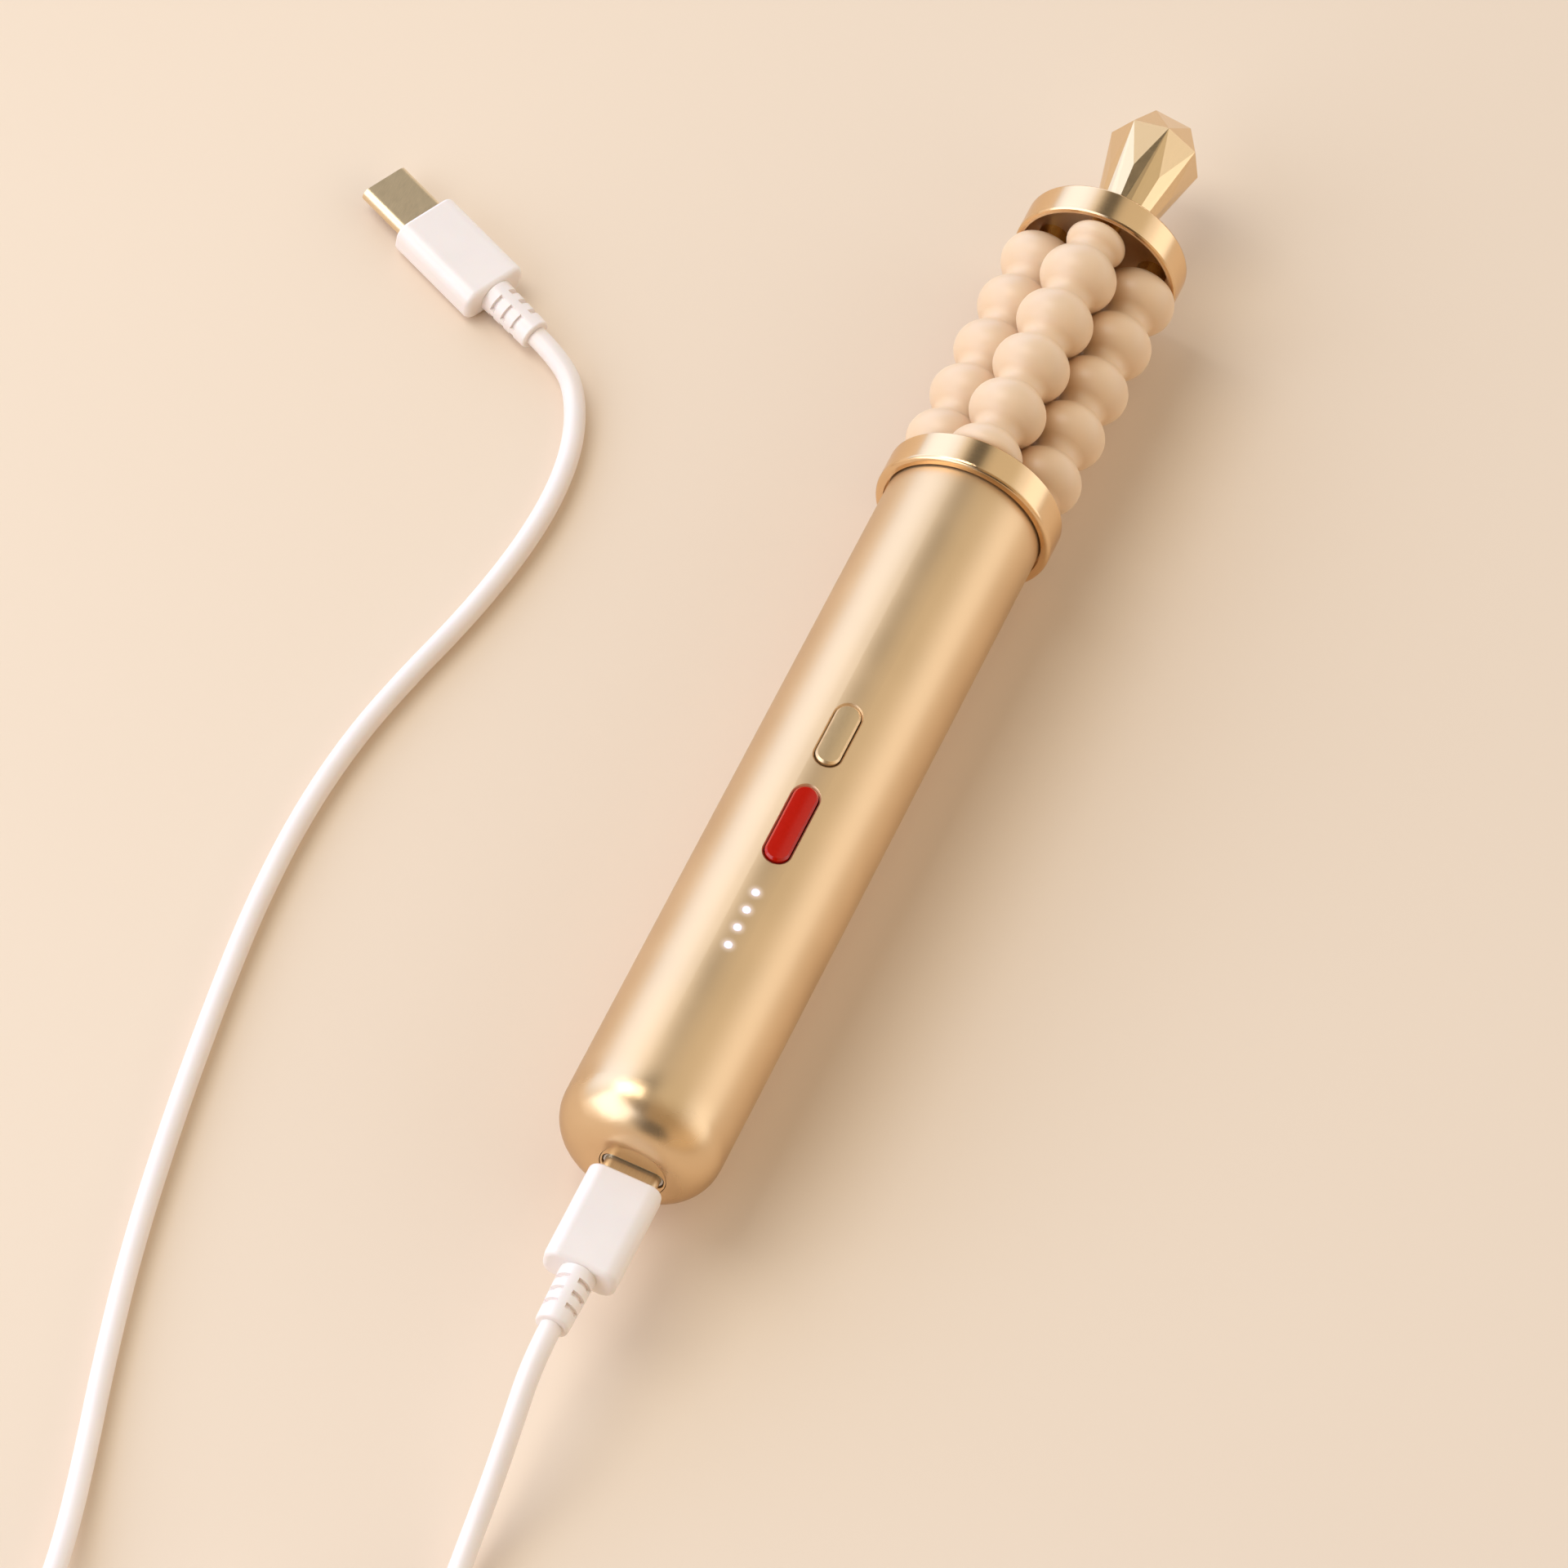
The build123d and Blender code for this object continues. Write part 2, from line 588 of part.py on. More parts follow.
def board_components():
    """Charge controller, processor, choke, a diode and a row of small passives."""
    # left, right, start and end from the board's start, and height of each
    packages = [
        (-6.2, -2.4, 6.5, 10.3, 0.9),
        (2.6, 6.4, 10.5, 15.5, 1.1),
        (-6.4, -2.6, 28.5, 32.5, 1.4),
        (3.0, 5.0, 48.5, 52.5, 0.8),
    ]
    packages += [(3.4, 4.2, 18.5 + 3.0 * i, 20.1 + 3.0 * i, 0.5) for i in range(6)]
    chips = []
    for left, right, start, end, height in packages:
        top = BOARD_TOP + height
        chips.append(block(left, right, BOARD_START + start, BOARD_START + end, BOARD_TOP, top))
    return Compound(children=chips)


def battery_cell():
    can_end = CELL_END - CELL_CAP_HEIGHT
    cell = rod(CELL_START, can_end, CELL_DIAMETER / 2, height=-CELL_DROP)
    cell = fillet(cell.edges(), CELL_EDGE)
    return cell + rod(can_end, CELL_END, CELL_CAP_RADIUS, height=-CELL_DROP)


def cell_tabs():
    """Welded strips from the cell's ends up to the underside of the board."""
    low, side = -CELL_DROP - TAB_REACH, TAB_WIDTH / 2
    starts = (CELL_START - TAB_THICKNESS, CELL_END)
    tabs = [block(-side, side, y, y + TAB_THICKNESS, low, BOARD_HEIGHT) for y in starts]
    return Compound(children=tabs)


def cell_pad():
    """The foam pad that presses the cell down under the board."""
    middle = (CELL_START + CELL_END) / 2
    start, end = middle - PAD_LENGTH / 2, middle + PAD_LENGTH / 2
    pad = block(-PAD_HALF_WIDTH, PAD_HALF_WIDTH, start, end, PAD_LOW, BOARD_HEIGHT)
    return pad - rod(CELL_START, CELL_END, CELL_DIAMETER / 2 + FINE_GAP, height=-CELL_DROP)


def wire(points):
    route = [Vector(*point) for point in points]
    path = FilletPolyline(*route, radius=WIRE_BEND)
    return sweep(Plane(path @ 0, z_dir=path % 0) * Circle(WIRE_DIAMETER / 2), path=path)


def wire_pair(route):
    """Two wires side by side along a route of stations and heights."""
    wires = []
    for across in (-WIRE_ACROSS, WIRE_ACROSS):
        wires.append(placed(wire([(across, station, height) for station, height in route])))
    return Compound(children=wires)


def motor_leads():
    """Two wires from the board's end, over the gap and into the motor's rear."""
    rise = BOARD_TOP + WIRE_RISE
    first, last = BOARD_END - WIRE_SET_BACK, BOARD_END + MOTOR_WIRE_STEP
    down = MOTOR_WIRE_HEIGHT
    return wire_pair([(first, BOARD_TOP), (first, rise), (last, rise), (last, down), (MOTOR_START, down)])


def port_leads():
    """Two wires from the port's board up and over onto the main board."""
    rise = BOARD_TOP + WIRE_RISE
    last = BOARD_START + WIRE_RISE
    route = [(PORT_WIRE_START, PORT_BOARD_TOP), (PORT_WIRE_START, rise), (last, rise), (last, BOARD_TOP)]
    return wire_pair(route)


def gear_motor():
    half, boss_start = MOTOR_HEIGHT / 2, MOTOR_START - MOTOR_BOSS_HEIGHT
    motor = rod(MOTOR_START, GEARBOX_START, MOTOR_WIDTH / 2)
    motor &= block(-OUTSIDE, OUTSIDE, MOTOR_START, GEARBOX_START, -half, half)
    return motor + rod(boss_start, MOTOR_START, MOTOR_BOSS_RADIUS, height=-MOTOR_BOSS_DROP)


def gearbox():
    side, half = MOTOR_WIDTH / 2, MOTOR_HEIGHT / 2
    box = block(-side, side, GEARBOX_START, GEARBOX_END, -half, half)
    box = fillet(box.edges().filter_by(Axis.Y), GEARBOX_CORNER)
    hole_start = GEARBOX_END - OUTPUT_SHAFT_DEPTH - SHAFT_END_GAP
    return box - rod(hole_start, GEARBOX_END + PAST, SHAFT_RADIUS + CLEARANCE)


def motor_clamp():
    side, foot = CLAMP_HALF_WIDTH, CLAMP_FOOT_HALF_WIDTH
    clamp = block(-side, side, CLAMP_START, CLAMP_END, BOARD_HEIGHT, CLAMP_TOP)
    clamp += block(-foot, foot, CLAMP_START, CLAMP_END, MOTOR_HEIGHT / 2, BOARD_HEIGHT)
    for station, across in clamp_screw_places():
        clamp -= post(station, across, 0, OUTSIDE, SMALL_SCREW_RADIUS + CLEARANCE)
    return clamp


def front_bulkhead():
    """The disc that closes the tube's mouth, with the bearing's seat."""
    disc = rod(BULKHEAD_START, BULKHEAD_END, BORE_RADIUS - BULKHEAD_FIT)
    disc -= rod(BEARING_START, BULKHEAD_END + PAST, BEARING_DIAMETER / 2 + SHAFT_FIT)
    disc -= rod(BULKHEAD_START - PAST, BEARING_START, BEARING_DIAMETER / 2 - BEARING_LEDGE)
    for across in (-PILLAR_ACROSS, PILLAR_ACROSS):
        disc -= rod(BULKHEAD_START - PAST, BULKHEAD_END + PAST, SCREW_RADIUS + CLEARANCE, across)
        seat = BULKHEAD_END - SCREW_HEAD_SEAT
        disc -= rod(seat, BULKHEAD_END + PAST, 2 * SCREW_RADIUS + CLEARANCE, across)
    return disc


def bulkhead_screws():
    screws = []
    seat = BULKHEAD_END - SCREW_HEAD_SEAT
    top = seat + SCREW_HEAD_HEIGHT
    reach, half = 2 * SCREW_RADIUS, SCREW_SLOT_WIDTH / 2
    for across in (-PILLAR_ACROSS, PILLAR_ACROSS):
        head = rod(seat, top, reach, across)
        head -= block(across - reach, across + reach, top - SCREW_SLOT_DEPTH, top, -half, half)
        screws.append(head + rod(BULKHEAD_START - SCREW_LENGTH, seat, SCREW_RADIUS, across))
    return Compound(children=screws)


def seal_ring():
    """A felt ring on the bulkhead that keeps dust out of the running gap."""
    outer = BORE_RADIUS - SEAL_GAP
    return ring(BULKHEAD_END, BULKHEAD_END + RUNNING_GAP, outer, outer - SEAL_WIDTH)


def bearing_race(outer):
    """One race of the ball bearing, with its groove."""
    if outer:
        race = ring(BEARING_START, BULKHEAD_END, BEARING_DIAMETER / 2, BEARING_PITCH + RACE_GAP / 2)
    else:
        bore = SHAFT_RADIUS + SHAFT_FIT
        race = ring(BEARING_START, BULKHEAD_END, BEARING_PITCH - RACE_GAP / 2, bore)
    groove = Torus(BEARING_PITCH, BALL_DIAMETER / 2 + BALL_GROOVE)
    return race - placed(Pos(0, BEARING_MIDDLE, 0) * Rot(90, 0, 0) * groove)


def bearing_balls():
    balls = []
    for i in range(BEARING_BALLS):
        across, height = polar(360 / BEARING_BALLS * i, BEARING_PITCH)
        balls.append(placed(Pos(across, BEARING_MIDDLE, height) * Sphere(BALL_DIAMETER / 2)))
    return Compound(children=balls)


# Turning head


def output_shaft():
    return rod(GEARBOX_END - OUTPUT_SHAFT_DEPTH, OUTPUT_SHAFT_END, SHAFT_RADIUS)


def shaft_coupler():
    """The brass sleeve between the gearbox's shaft and the head's shaft."""
    sleeve = rod(COUPLER_START, COUPLER_END, COUPLER_DIAMETER / 2)
    sleeve = chamfer(sleeve.edges(), COUPLER_EDGE)
    sleeve -= rod(COUPLER_START - PAST, COUPLER_END + PAST, SHAFT_RADIUS + SHAFT_FIT)
    for station in coupler_screw_stations():
        sleeve -= post(station, 0, SHAFT_RADIUS, COUPLER_DIAMETER, SCREW_RADIUS)
    return sleeve


def coupler_screw_stations():
    return [COUPLER_START + COUPLER_LENGTH * share for share in (0.25, 0.75)]


def coupler_screws():
    screws = []
    low, high = SHAFT_RADIUS + SHAFT_FIT, COUPLER_DIAMETER / 2 - SET_SCREW_DROP
    for station in coupler_screw_stations():
        screw = post(station, 0, low, high, SCREW_RADIUS - SHAFT_FIT)
        socket = RegularPolygon(SET_SCREW_SOCKET, 6)
        screws.append(screw - upright(socket, station, high - SET_SCREW_SOCKET_DEPTH, high + PAST))
    return Compound(children=screws)


def head_shaft():
    """The stepped shaft from the coupler through the head into the tip."""
    shaft = rod(OUTPUT_SHAFT_END + SHAFT_END_GAP, WEB_END, SHAFT_RADIUS)
    return shaft + rod(WEB_END, PLATE_END + TIP_THREAD_DEPTH - TIP_THREAD_SPARE, STEM_RADIUS)


def shaft_nut():
    """The hexagon nut in the lower cup that clamps the ring to the bearing."""
    nut_end = WEB_END + NUT_HEIGHT
    nut = placed(along(RegularPolygon(NUT_RADIUS, 6), WEB_END, nut_end))
    return nut - rod(WEB_END - PAST, nut_end + PAST, STEM_RADIUS + SHAFT_FIT)


def roller_angles():
    return [HEAD_REST_TURN + 360 / ROLLER_COUNT * i for i in range(ROLLER_COUNT)]


def lower_ring():
    """The cup that turns around the tube's mouth, with its rolled lower lip."""
    radius = LOWER_RING_DIAMETER / 2
    cup = rod(HANDLE_LENGTH, ROLLERS_START, radius)
    cup = fillet(cup.edges().sort_by(Axis.Y)[0], RING_LIP)
    cup = chamfer(cup.edges().sort_by(Axis.Y)[-1], RING_INNER_EDGE)
    cup -= rod(HANDLE_LENGTH - PAST, WEB_START, TUBE_RADIUS + RUNNING_GAP)
    cup -= rod(WEB_END, ROLLERS_START + PAST, radius - LOWER_RING_WALL)
    cup += rod(BULKHEAD_END, WEB_START, SHAFT_RADIUS + HUB_WALL)
    cup -= rod(HANDLE_LENGTH, ROLLERS_START, SHAFT_RADIUS + SHAFT_FIT)
    for angle in roller_angles():
        across, height = polar(angle, ROLLER_CIRCLE)
        seat = AXLE_DIAMETER / 2 + SHAFT_FIT
        cup -= rod(WEB_END - AXLE_SEAT, WEB_END + PAST, seat, across, height)
    return cup


def upper_ring():
    """The cup over the rollers' far ends."""
    radius = UPPER_RING_DIAMETER / 2
    cup = rod(ROLLERS_END, PLATE_END, radius)
    cup = fillet(cup.edges().sort_by(Axis.Y)[-1], UPPER_RING_EDGE)
    cup = chamfer(cup.edges().sort_by(Axis.Y)[0], UPPER_RING_INNER_EDGE)
    cup -= rod(ROLLERS_END - PAST, PLATE_START, radius - UPPER_RING_WALL)
    cup -= rod(PLATE_START - PAST, PLATE_END + PAST, STEM_RADIUS + SHAFT_FIT)
    for angle in roller_angles():
        across, height = polar(angle, ROLLER_CIRCLE)
        seat = AXLE_DIAMETER / 2 + SHAFT_FIT
        cup -= rod(PLATE_START - PAST, PLATE_START + AXLE_SEAT, seat, across, height)
    return cup


def roller_axles():
    axles = []
    for angle in roller_angles():
        across, height = polar(angle, ROLLER_CIRCLE)
        start, end = WEB_END - AXLE_SEAT, PLATE_START + AXLE_SEAT
        axles.append(rod(start, end, AXLE_DIAMETER / 2, across, height))
    return Compound(children=axles)


def roller_bushes():
    """Spacers on the axles, between the cups' floors and the rollers."""
    bushes = []
    for angle in roller_angles():
        across, height = polar(angle, ROLLER_CIRCLE)
        for start, end in ((WEB_END, ROLLERS_START), (ROLLERS_END, PLATE_START)):
            bush = rod(start, end, BUSH_RADIUS, across, height)
            bore = AXLE_DIAMETER / 2 + SHAFT_FIT
            bushes.append(bush - rod(start - PAST, end + PAST, bore, across, height))
    return Compound(children=bushes)


def tangent_point(centre, radius, towards):
    """Where a circle meets the next one that it touches."""
    step_along, step_out = towards[0] - centre[0], towards[1] - centre[1]
    reach = math.hypot(step_along, step_out)
    return centre[0] + step_along * radius / reach, centre[1] + step_out * radius / reach


def roller(small_end):
    """One beaded roller about the Y axis, from its small end at 0 upwards."""
    drop = BEAD_RADIUS - NECK_RADIUS
    half = BEAD_PITCH / 2
    neck_round = (half**2 + drop**2) / (2 * drop) - BEAD_ROUND
    length = ROLLER_SPACE - 2 * ROLLER_END_PLAY
    large_end = length - small_end - BEAD_COUNT * BEAD_PITCH
    bore = AXLE_DIAMETER / 2 + AXLE_CLEARANCE
    edges = []

    def arc(centre, radius, point, next_point):
        """An arc of a circle, between two of its points, by its middle."""
        mean = ((point[0] + next_point[0]) / 2 - centre[0], (point[1] + next_point[1]) / 2 - centre[1])
        size = math.hypot(*mean)
        middle = (centre[0] + mean[0] * radius / size, centre[1] + mean[1] * radius / size)
        edges.append(ThreePointArc(flip(point), flip(middle), flip(next_point)))

    def flip(point):
        """From (station, radius) to the outline's (X, Y)."""
        return point[1], point[0]

    # the small end bead, from the end face to the middle of its neck
    reach = SMALL_END_ROUND + SMALL_NECK_ROUND
    rise = NECK_RADIUS + SMALL_NECK_ROUND - (SMALL_END_RADIUS - SMALL_END_ROUND)
    top_station = small_end - math.sqrt(reach**2 - rise**2)
    end_centre = (top_station, SMALL_END_RADIUS - SMALL_END_ROUND)
    end_radius = end_centre[1] + math.sqrt(SMALL_END_ROUND**2 - top_station**2)
    neck_centre = (small_end, NECK_RADIUS + SMALL_NECK_ROUND)
    joint = tangent_point(end_centre, SMALL_END_ROUND, neck_centre)
    neck = (small_end, NECK_RADIUS)
    arc(end_centre, SMALL_END_ROUND, (0, end_radius), joint)
    arc(neck_centre, SMALL_NECK_ROUND, joint, neck)

    # the full beads, and one more that ends in the large end face
    for i in range(BEAD_COUNT + 1):
        station = small_end + i * BEAD_PITCH
        bead_centre = (station + half, BEAD_RADIUS - BEAD_ROUND)
        before = (station, NECK_RADIUS + neck_round)
        after = (station + BEAD_PITCH, NECK_RADIUS + neck_round)
        rising = tangent_point(bead_centre, BEAD_ROUND, before)
        falling = tangent_point(bead_centre, BEAD_ROUND, after)
        arc(before, neck_round, (station, NECK_RADIUS), rising)
        if i < BEAD_COUNT:
            arc(bead_centre, BEAD_ROUND, rising, falling)
            arc(after, neck_round, falling, (station + BEAD_PITCH, NECK_RADIUS))
    past_top = large_end - half
    last_radius = bead_centre[1] + math.sqrt(BEAD_ROUND**2 - past_top**2)
    arc(bead_centre, BEAD_ROUND, rising, (length, last_radius))
    edges.append(Line(flip((length, last_radius)), flip((length, bore))))
    edges.append(Line(flip((length, bore)), flip((0, bore))))
    edges.append(Line(flip((0, bore)), flip((0, end_radius))))
    body = turned(edges)
    rim = body.edges().filter_by(GeomType.CIRCLE).group_by(Axis.Y)[-1].sort_by(SortBy.RADIUS)[-1]
    return fillet(rim, LARGE_END_EDGE)


def placed_roller(index):
    """Rollers stand on their axles, every other one end for end."""
    across, height = polar(roller_angles()[index], ROLLER_CIRCLE)
    start = ROLLERS_START + ROLLER_END_PLAY
    end = ROLLERS_END - ROLLER_END_PLAY
    if index % 2 == 0:
        return placed(Pos(across, end, height) * Rot(180, 0, 0) * roller(UPPER_SMALL_END))
    return placed(Pos(across, start, height) * roller(LOWER_SMALL_END))


def faceted_tip():
    """A brilliant-like knob: rows of eight corners under a square table."""
    rows = [
        (0.0, TIP_BASE_RADIUS, 8, 22.5),
        (TIP_NECK_STATION, TIP_NECK_RADIUS, 8, 0.0),
        (TIP_MIDDLE_STATION, TIP_MIDDLE_RADIUS, 8, 22.5),
        (TIP_GIRDLE_STATION, TIP_GIRDLE_RADIUS, 8, 0.0),
        (TIP_LENGTH, TIP_TABLE_RADIUS, 4, 45.0),
    ]
    points = []
    for station, radius, count, first in rows:
        for i in range(count):
            across, height = polar(TIP_REST_TURN + first + 360 / count * i, radius)
            points.append((across, PLATE_END + station, height))
    knob = placed(ConvexPolyhedron(points))
    return knob - rod(PLATE_END - PAST, PLATE_END + TIP_THREAD_DEPTH, STEM_RADIUS + SHAFT_FIT)


# Charging lead: each plug is built with its body's front face at the origin, pointing to +Y


def plug_shell():
    wall = 2 * PLUG_SHELL_WALL
    outer = flat_oval(PLUG_SHELL_WIDTH, PLUG_SHELL_HEIGHT)
    inner = flat_oval(PLUG_SHELL_WIDTH - wall, PLUG_SHELL_HEIGHT - wall)
    shell = along(outer, -PLUG_SHELL_INSIDE, PLUG_SHELL_LENGTH)
    return shell - along(inner, -PLUG_SHELL_INSIDE - PAST, PLUG_SHELL_LENGTH + PAST)


def plug_insulator():
    """The block inside the shell, behind the room that the socket's tongue needs."""
    wall = 2 * PLUG_SHELL_WALL
    width = PLUG_SHELL_WIDTH - wall - 2 * PLUG_INSULATOR_SIDE
    height = PLUG_SHELL_HEIGHT - wall - SHAFT_FIT
    return along(Rectangle(width, height), -PLUG_SHELL_INSIDE, PLUG_SHELL_LENGTH - PLUG_MOUTH_DEPTH)


def plug_body():
    body = along(RectangleRounded(PLUG_WIDTH, PLUG_HEIGHT, PLUG_CORNER), -PLUG_LENGTH, 0)
    body = fillet(body.faces().sort_by(Axis.Y)[-1].edges(), PLUG_FRONT_EDGE)
    body = fillet(body.faces().sort_by(Axis.Y)[0].edges(), PLUG_REAR_EDGE)
    pocket = flat_oval(PLUG_SHELL_WIDTH + 2 * SHAFT_FIT, PLUG_SHELL_HEIGHT + 2 * SHAFT_FIT)
    return body - along(pocket, -PLUG_SHELL_INSIDE, PAST)


def strain_relief():
    """The ribbed sleeve behind the plug, with rows of slots between four ribs."""
    radius, end_radius = RELIEF_DIAMETER / 2, RELIEF_END_DIAMETER / 2
    sleeve = Rot(90, 0, 0) * Cone(radius, end_radius, RELIEF_LENGTH)
    sleeve = Pos(0, -PLUG_LENGTH - RELIEF_LENGTH / 2, 0) * sleeve
    sleeve = fillet(sleeve.edges().sort_by(Axis.Y)[0], RELIEF_EDGE)
    for i in range(RELIEF_ROWS):
        middle = -PLUG_LENGTH - RELIEF_PITCH * (i + 1)
        low, high = middle - RELIEF_SLOT / 2, middle + RELIEF_SLOT / 2
        groove = along(Circle(radius + PAST), low, high)
        groove -= along(Circle(radius - RELIEF_SLOT_DEPTH), low, high)
        groove -= along(Rectangle(RELIEF_RIB, 4 * radius), low, high)
        groove -= along(Rectangle(4 * radius, RELIEF_SIDE_RIB), low, high)
        sleeve -= groove
    return sleeve


def far_place():
    x = FAR_END[0] + FAR_DIRECTION[0] * PLUG_REAR
    y = FAR_END[1] + FAR_DIRECTION[1] * PLUG_REAR
    return Pos(x, y, PLUG_HEIGHT / 2) * Rot(0, 0, FAR_TURN)


def coil_start():
    return COIL_CENTRE[0] + COIL_RADIUS, COIL_CENTRE[1] + CORD_DIAMETER, COIL_LOW


def coil_end():
    return COIL_CENTRE[0] - COIL_RADIUS, COIL_CENTRE[1] + CORD_DIAMETER, COIL_HIGH


def cord_lead():
    """From the near strain relief down to the floor and on to the coil."""
    x, y, z = coil_start()
    points = [
        CORD_EXIT,
        (CORD_EXIT[0], CORD_EXIT[1] - 6.4, CORD_EXIT[2]),
        (2.4, -145.0, 10.9),
        (3.3, -153.5, 6.7),
        (4.0, -162.5, 3.6),
        (5.2, -173.5, 2.5),
        (6.9, -186.0, z),
        (8.5, -195.0, z),
        (x, y + 7.5, z),
        (x, y, z),
    ]
    return cord_tube(points, "cord_lead")


def cord_tail():
    """From the coil along the surface in a long bend to the far plug."""
    x, y, z = coil_end()
    lie = CORD_RADIUS
    far_height = PLUG_HEIGHT / 2
    points = [
        (x, y, z),
        (x, y + 7.0, z),
        (-43.2, -194.0, 4.6),
        (-45.0, -184.0, 2.7),
        (-47.9, -172.0, 1.8),
        (-52.0, -157.0, lie),
        (-56.4, -138.5, lie),
        (-60.0, -118.0, lie),
        (-62.8, -98.0, lie),
        (-64.8, -80.0, lie),
        (-65.4, -63.0, lie),
        (-64.3, -47.5, lie),
        (-61.8, -34.0, lie),
        (-59.2, -23.0, lie),
        (-57.4, -13.0, lie),
        (-56.3, -3.6, lie),
        (-56.1, 5.6, lie),
        (-57.2, 14.4, lie),
        (-60.0, 21.9, 2.0),
        (FAR_END[0] - 6.5 * FAR_DIRECTION[0], FAR_END[1] - 6.5 * FAR_DIRECTION[1], far_height),
        (*FAR_END, far_height),
    ]
    return cord_tube(points, "cord_tail")


def coil_radii():
    """Half turns that wind in, one that climbs a layer, and the ones that wind out."""
    step = COIL_PITCH / 2
    radii = [COIL_RADIUS - step * i for i in range(COIL_LOWER_HALF_TURNS)]
    radii.append(radii[-1] - step)
    return radii + [radii[-1] + step * (i + 1) for i in range(COIL_UPPER_HALF_TURNS)]


def coil_path():
    cx, cy = COIL_CENTRE
    edges = [Line(coil_start(), (cx + COIL_RADIUS, cy, COIL_LOW))]
    crossing = COIL_RADIUS
    side = -1  # the first half turn swings towards -Y
    for i, radius in enumerate(coil_radii()):
        low = COIL_LOW if i <= COIL_LOWER_HALF_TURNS else COIL_HIGH
        high = COIL_LOW if i < COIL_LOWER_HALF_TURNS else COIL_HIGH
        next_crossing = crossing + 2 * radius * side
        middle = (crossing + next_crossing) / 2
        reach = math.hypot(radius, (high - low) / 2)
        edges.append(
            ThreePointArc(
                (cx + crossing, cy, low),
                (cx + middle, cy + side * reach, (low + high) / 2),
                (cx + next_crossing, cy, high),
            )
        )
        crossing = next_crossing
        side = -side
    edges.append(Line((cx + crossing, cy, COIL_HIGH), coil_end()))
    return Wire(edges)


def least_gap(path, spacing=1.0):
    """The least distance between two turns, less the cord's thickness."""
    count = int(path.length / spacing)
    points = [path @ (i / count) for i in range(count + 1)]
    apart = int(4 * CORD_DIAMETER / spacing)
    least = min(
        (points[i] - points[j]).length for i in range(count + 1) for j in range(i + apart, count + 1)
    )
    return least - CORD_DIAMETER


def cord_coil():
    path = coil_path()
    coil = sweep(Plane(path @ 0, z_dir=path % 0) * Circle(CORD_RADIUS), path=path)
    expected = math.pi * CORD_RADIUS**2 * path.length
    print("cord_coil length", round(path.length, 1), "volume share", round(coil.volume / expected, 4))
    print("cord_coil least gap", round(least_gap(path), 3))
    return coil


def coil_ties():
    """Two flat bands around the coil's turns, which lie on them."""
    cx, cy = COIL_CENTRE
    step = COIL_PITCH / 2
    climb_radius = COIL_RADIUS - step * COIL_LOWER_HALF_TURNS
    top = COIL_HIGH + CORD_RADIUS + TIE_GAP
    bands = []
    for side, innermost, outermost in (
        (-1, climb_radius + step, COIL_RADIUS),
        (1, climb_radius, COIL_RADIUS - step),
    ):
        # a turn whose middle is a step to the side curves away within the band
        aside = TIE_WIDTH / 2 + (step if side < 0 else 0)
        inside = math.sqrt(innermost**2 - aside**2) - CORD_RADIUS - TIE_SIDE_GAP
        outside = outermost + CORD_RADIUS + TIE_SIDE_GAP
        width = outside - inside
        height = top - TIE_THICKNESS
        band = Box(TIE_WIDTH, width + 2 * TIE_THICKNESS, height + 2 * TIE_THICKNESS)
        band = fillet(band.edges().filter_by(Axis.X), TIE_CORNER)
        hole = Box(TIE_WIDTH + PAST, width, height)
        band -= fillet(hole.edges().filter_by(Axis.X), TIE_CORNER - TIE_THICKNESS)
        y = cy + side * (inside + outside) / 2
        bands.append(Pos(cx - step, y, (top + TIE_THICKNESS) / 2) * band)
    return Compound(children=bands)


def write(shape, name):
    export_step(shape, f"parts/{name}.step")


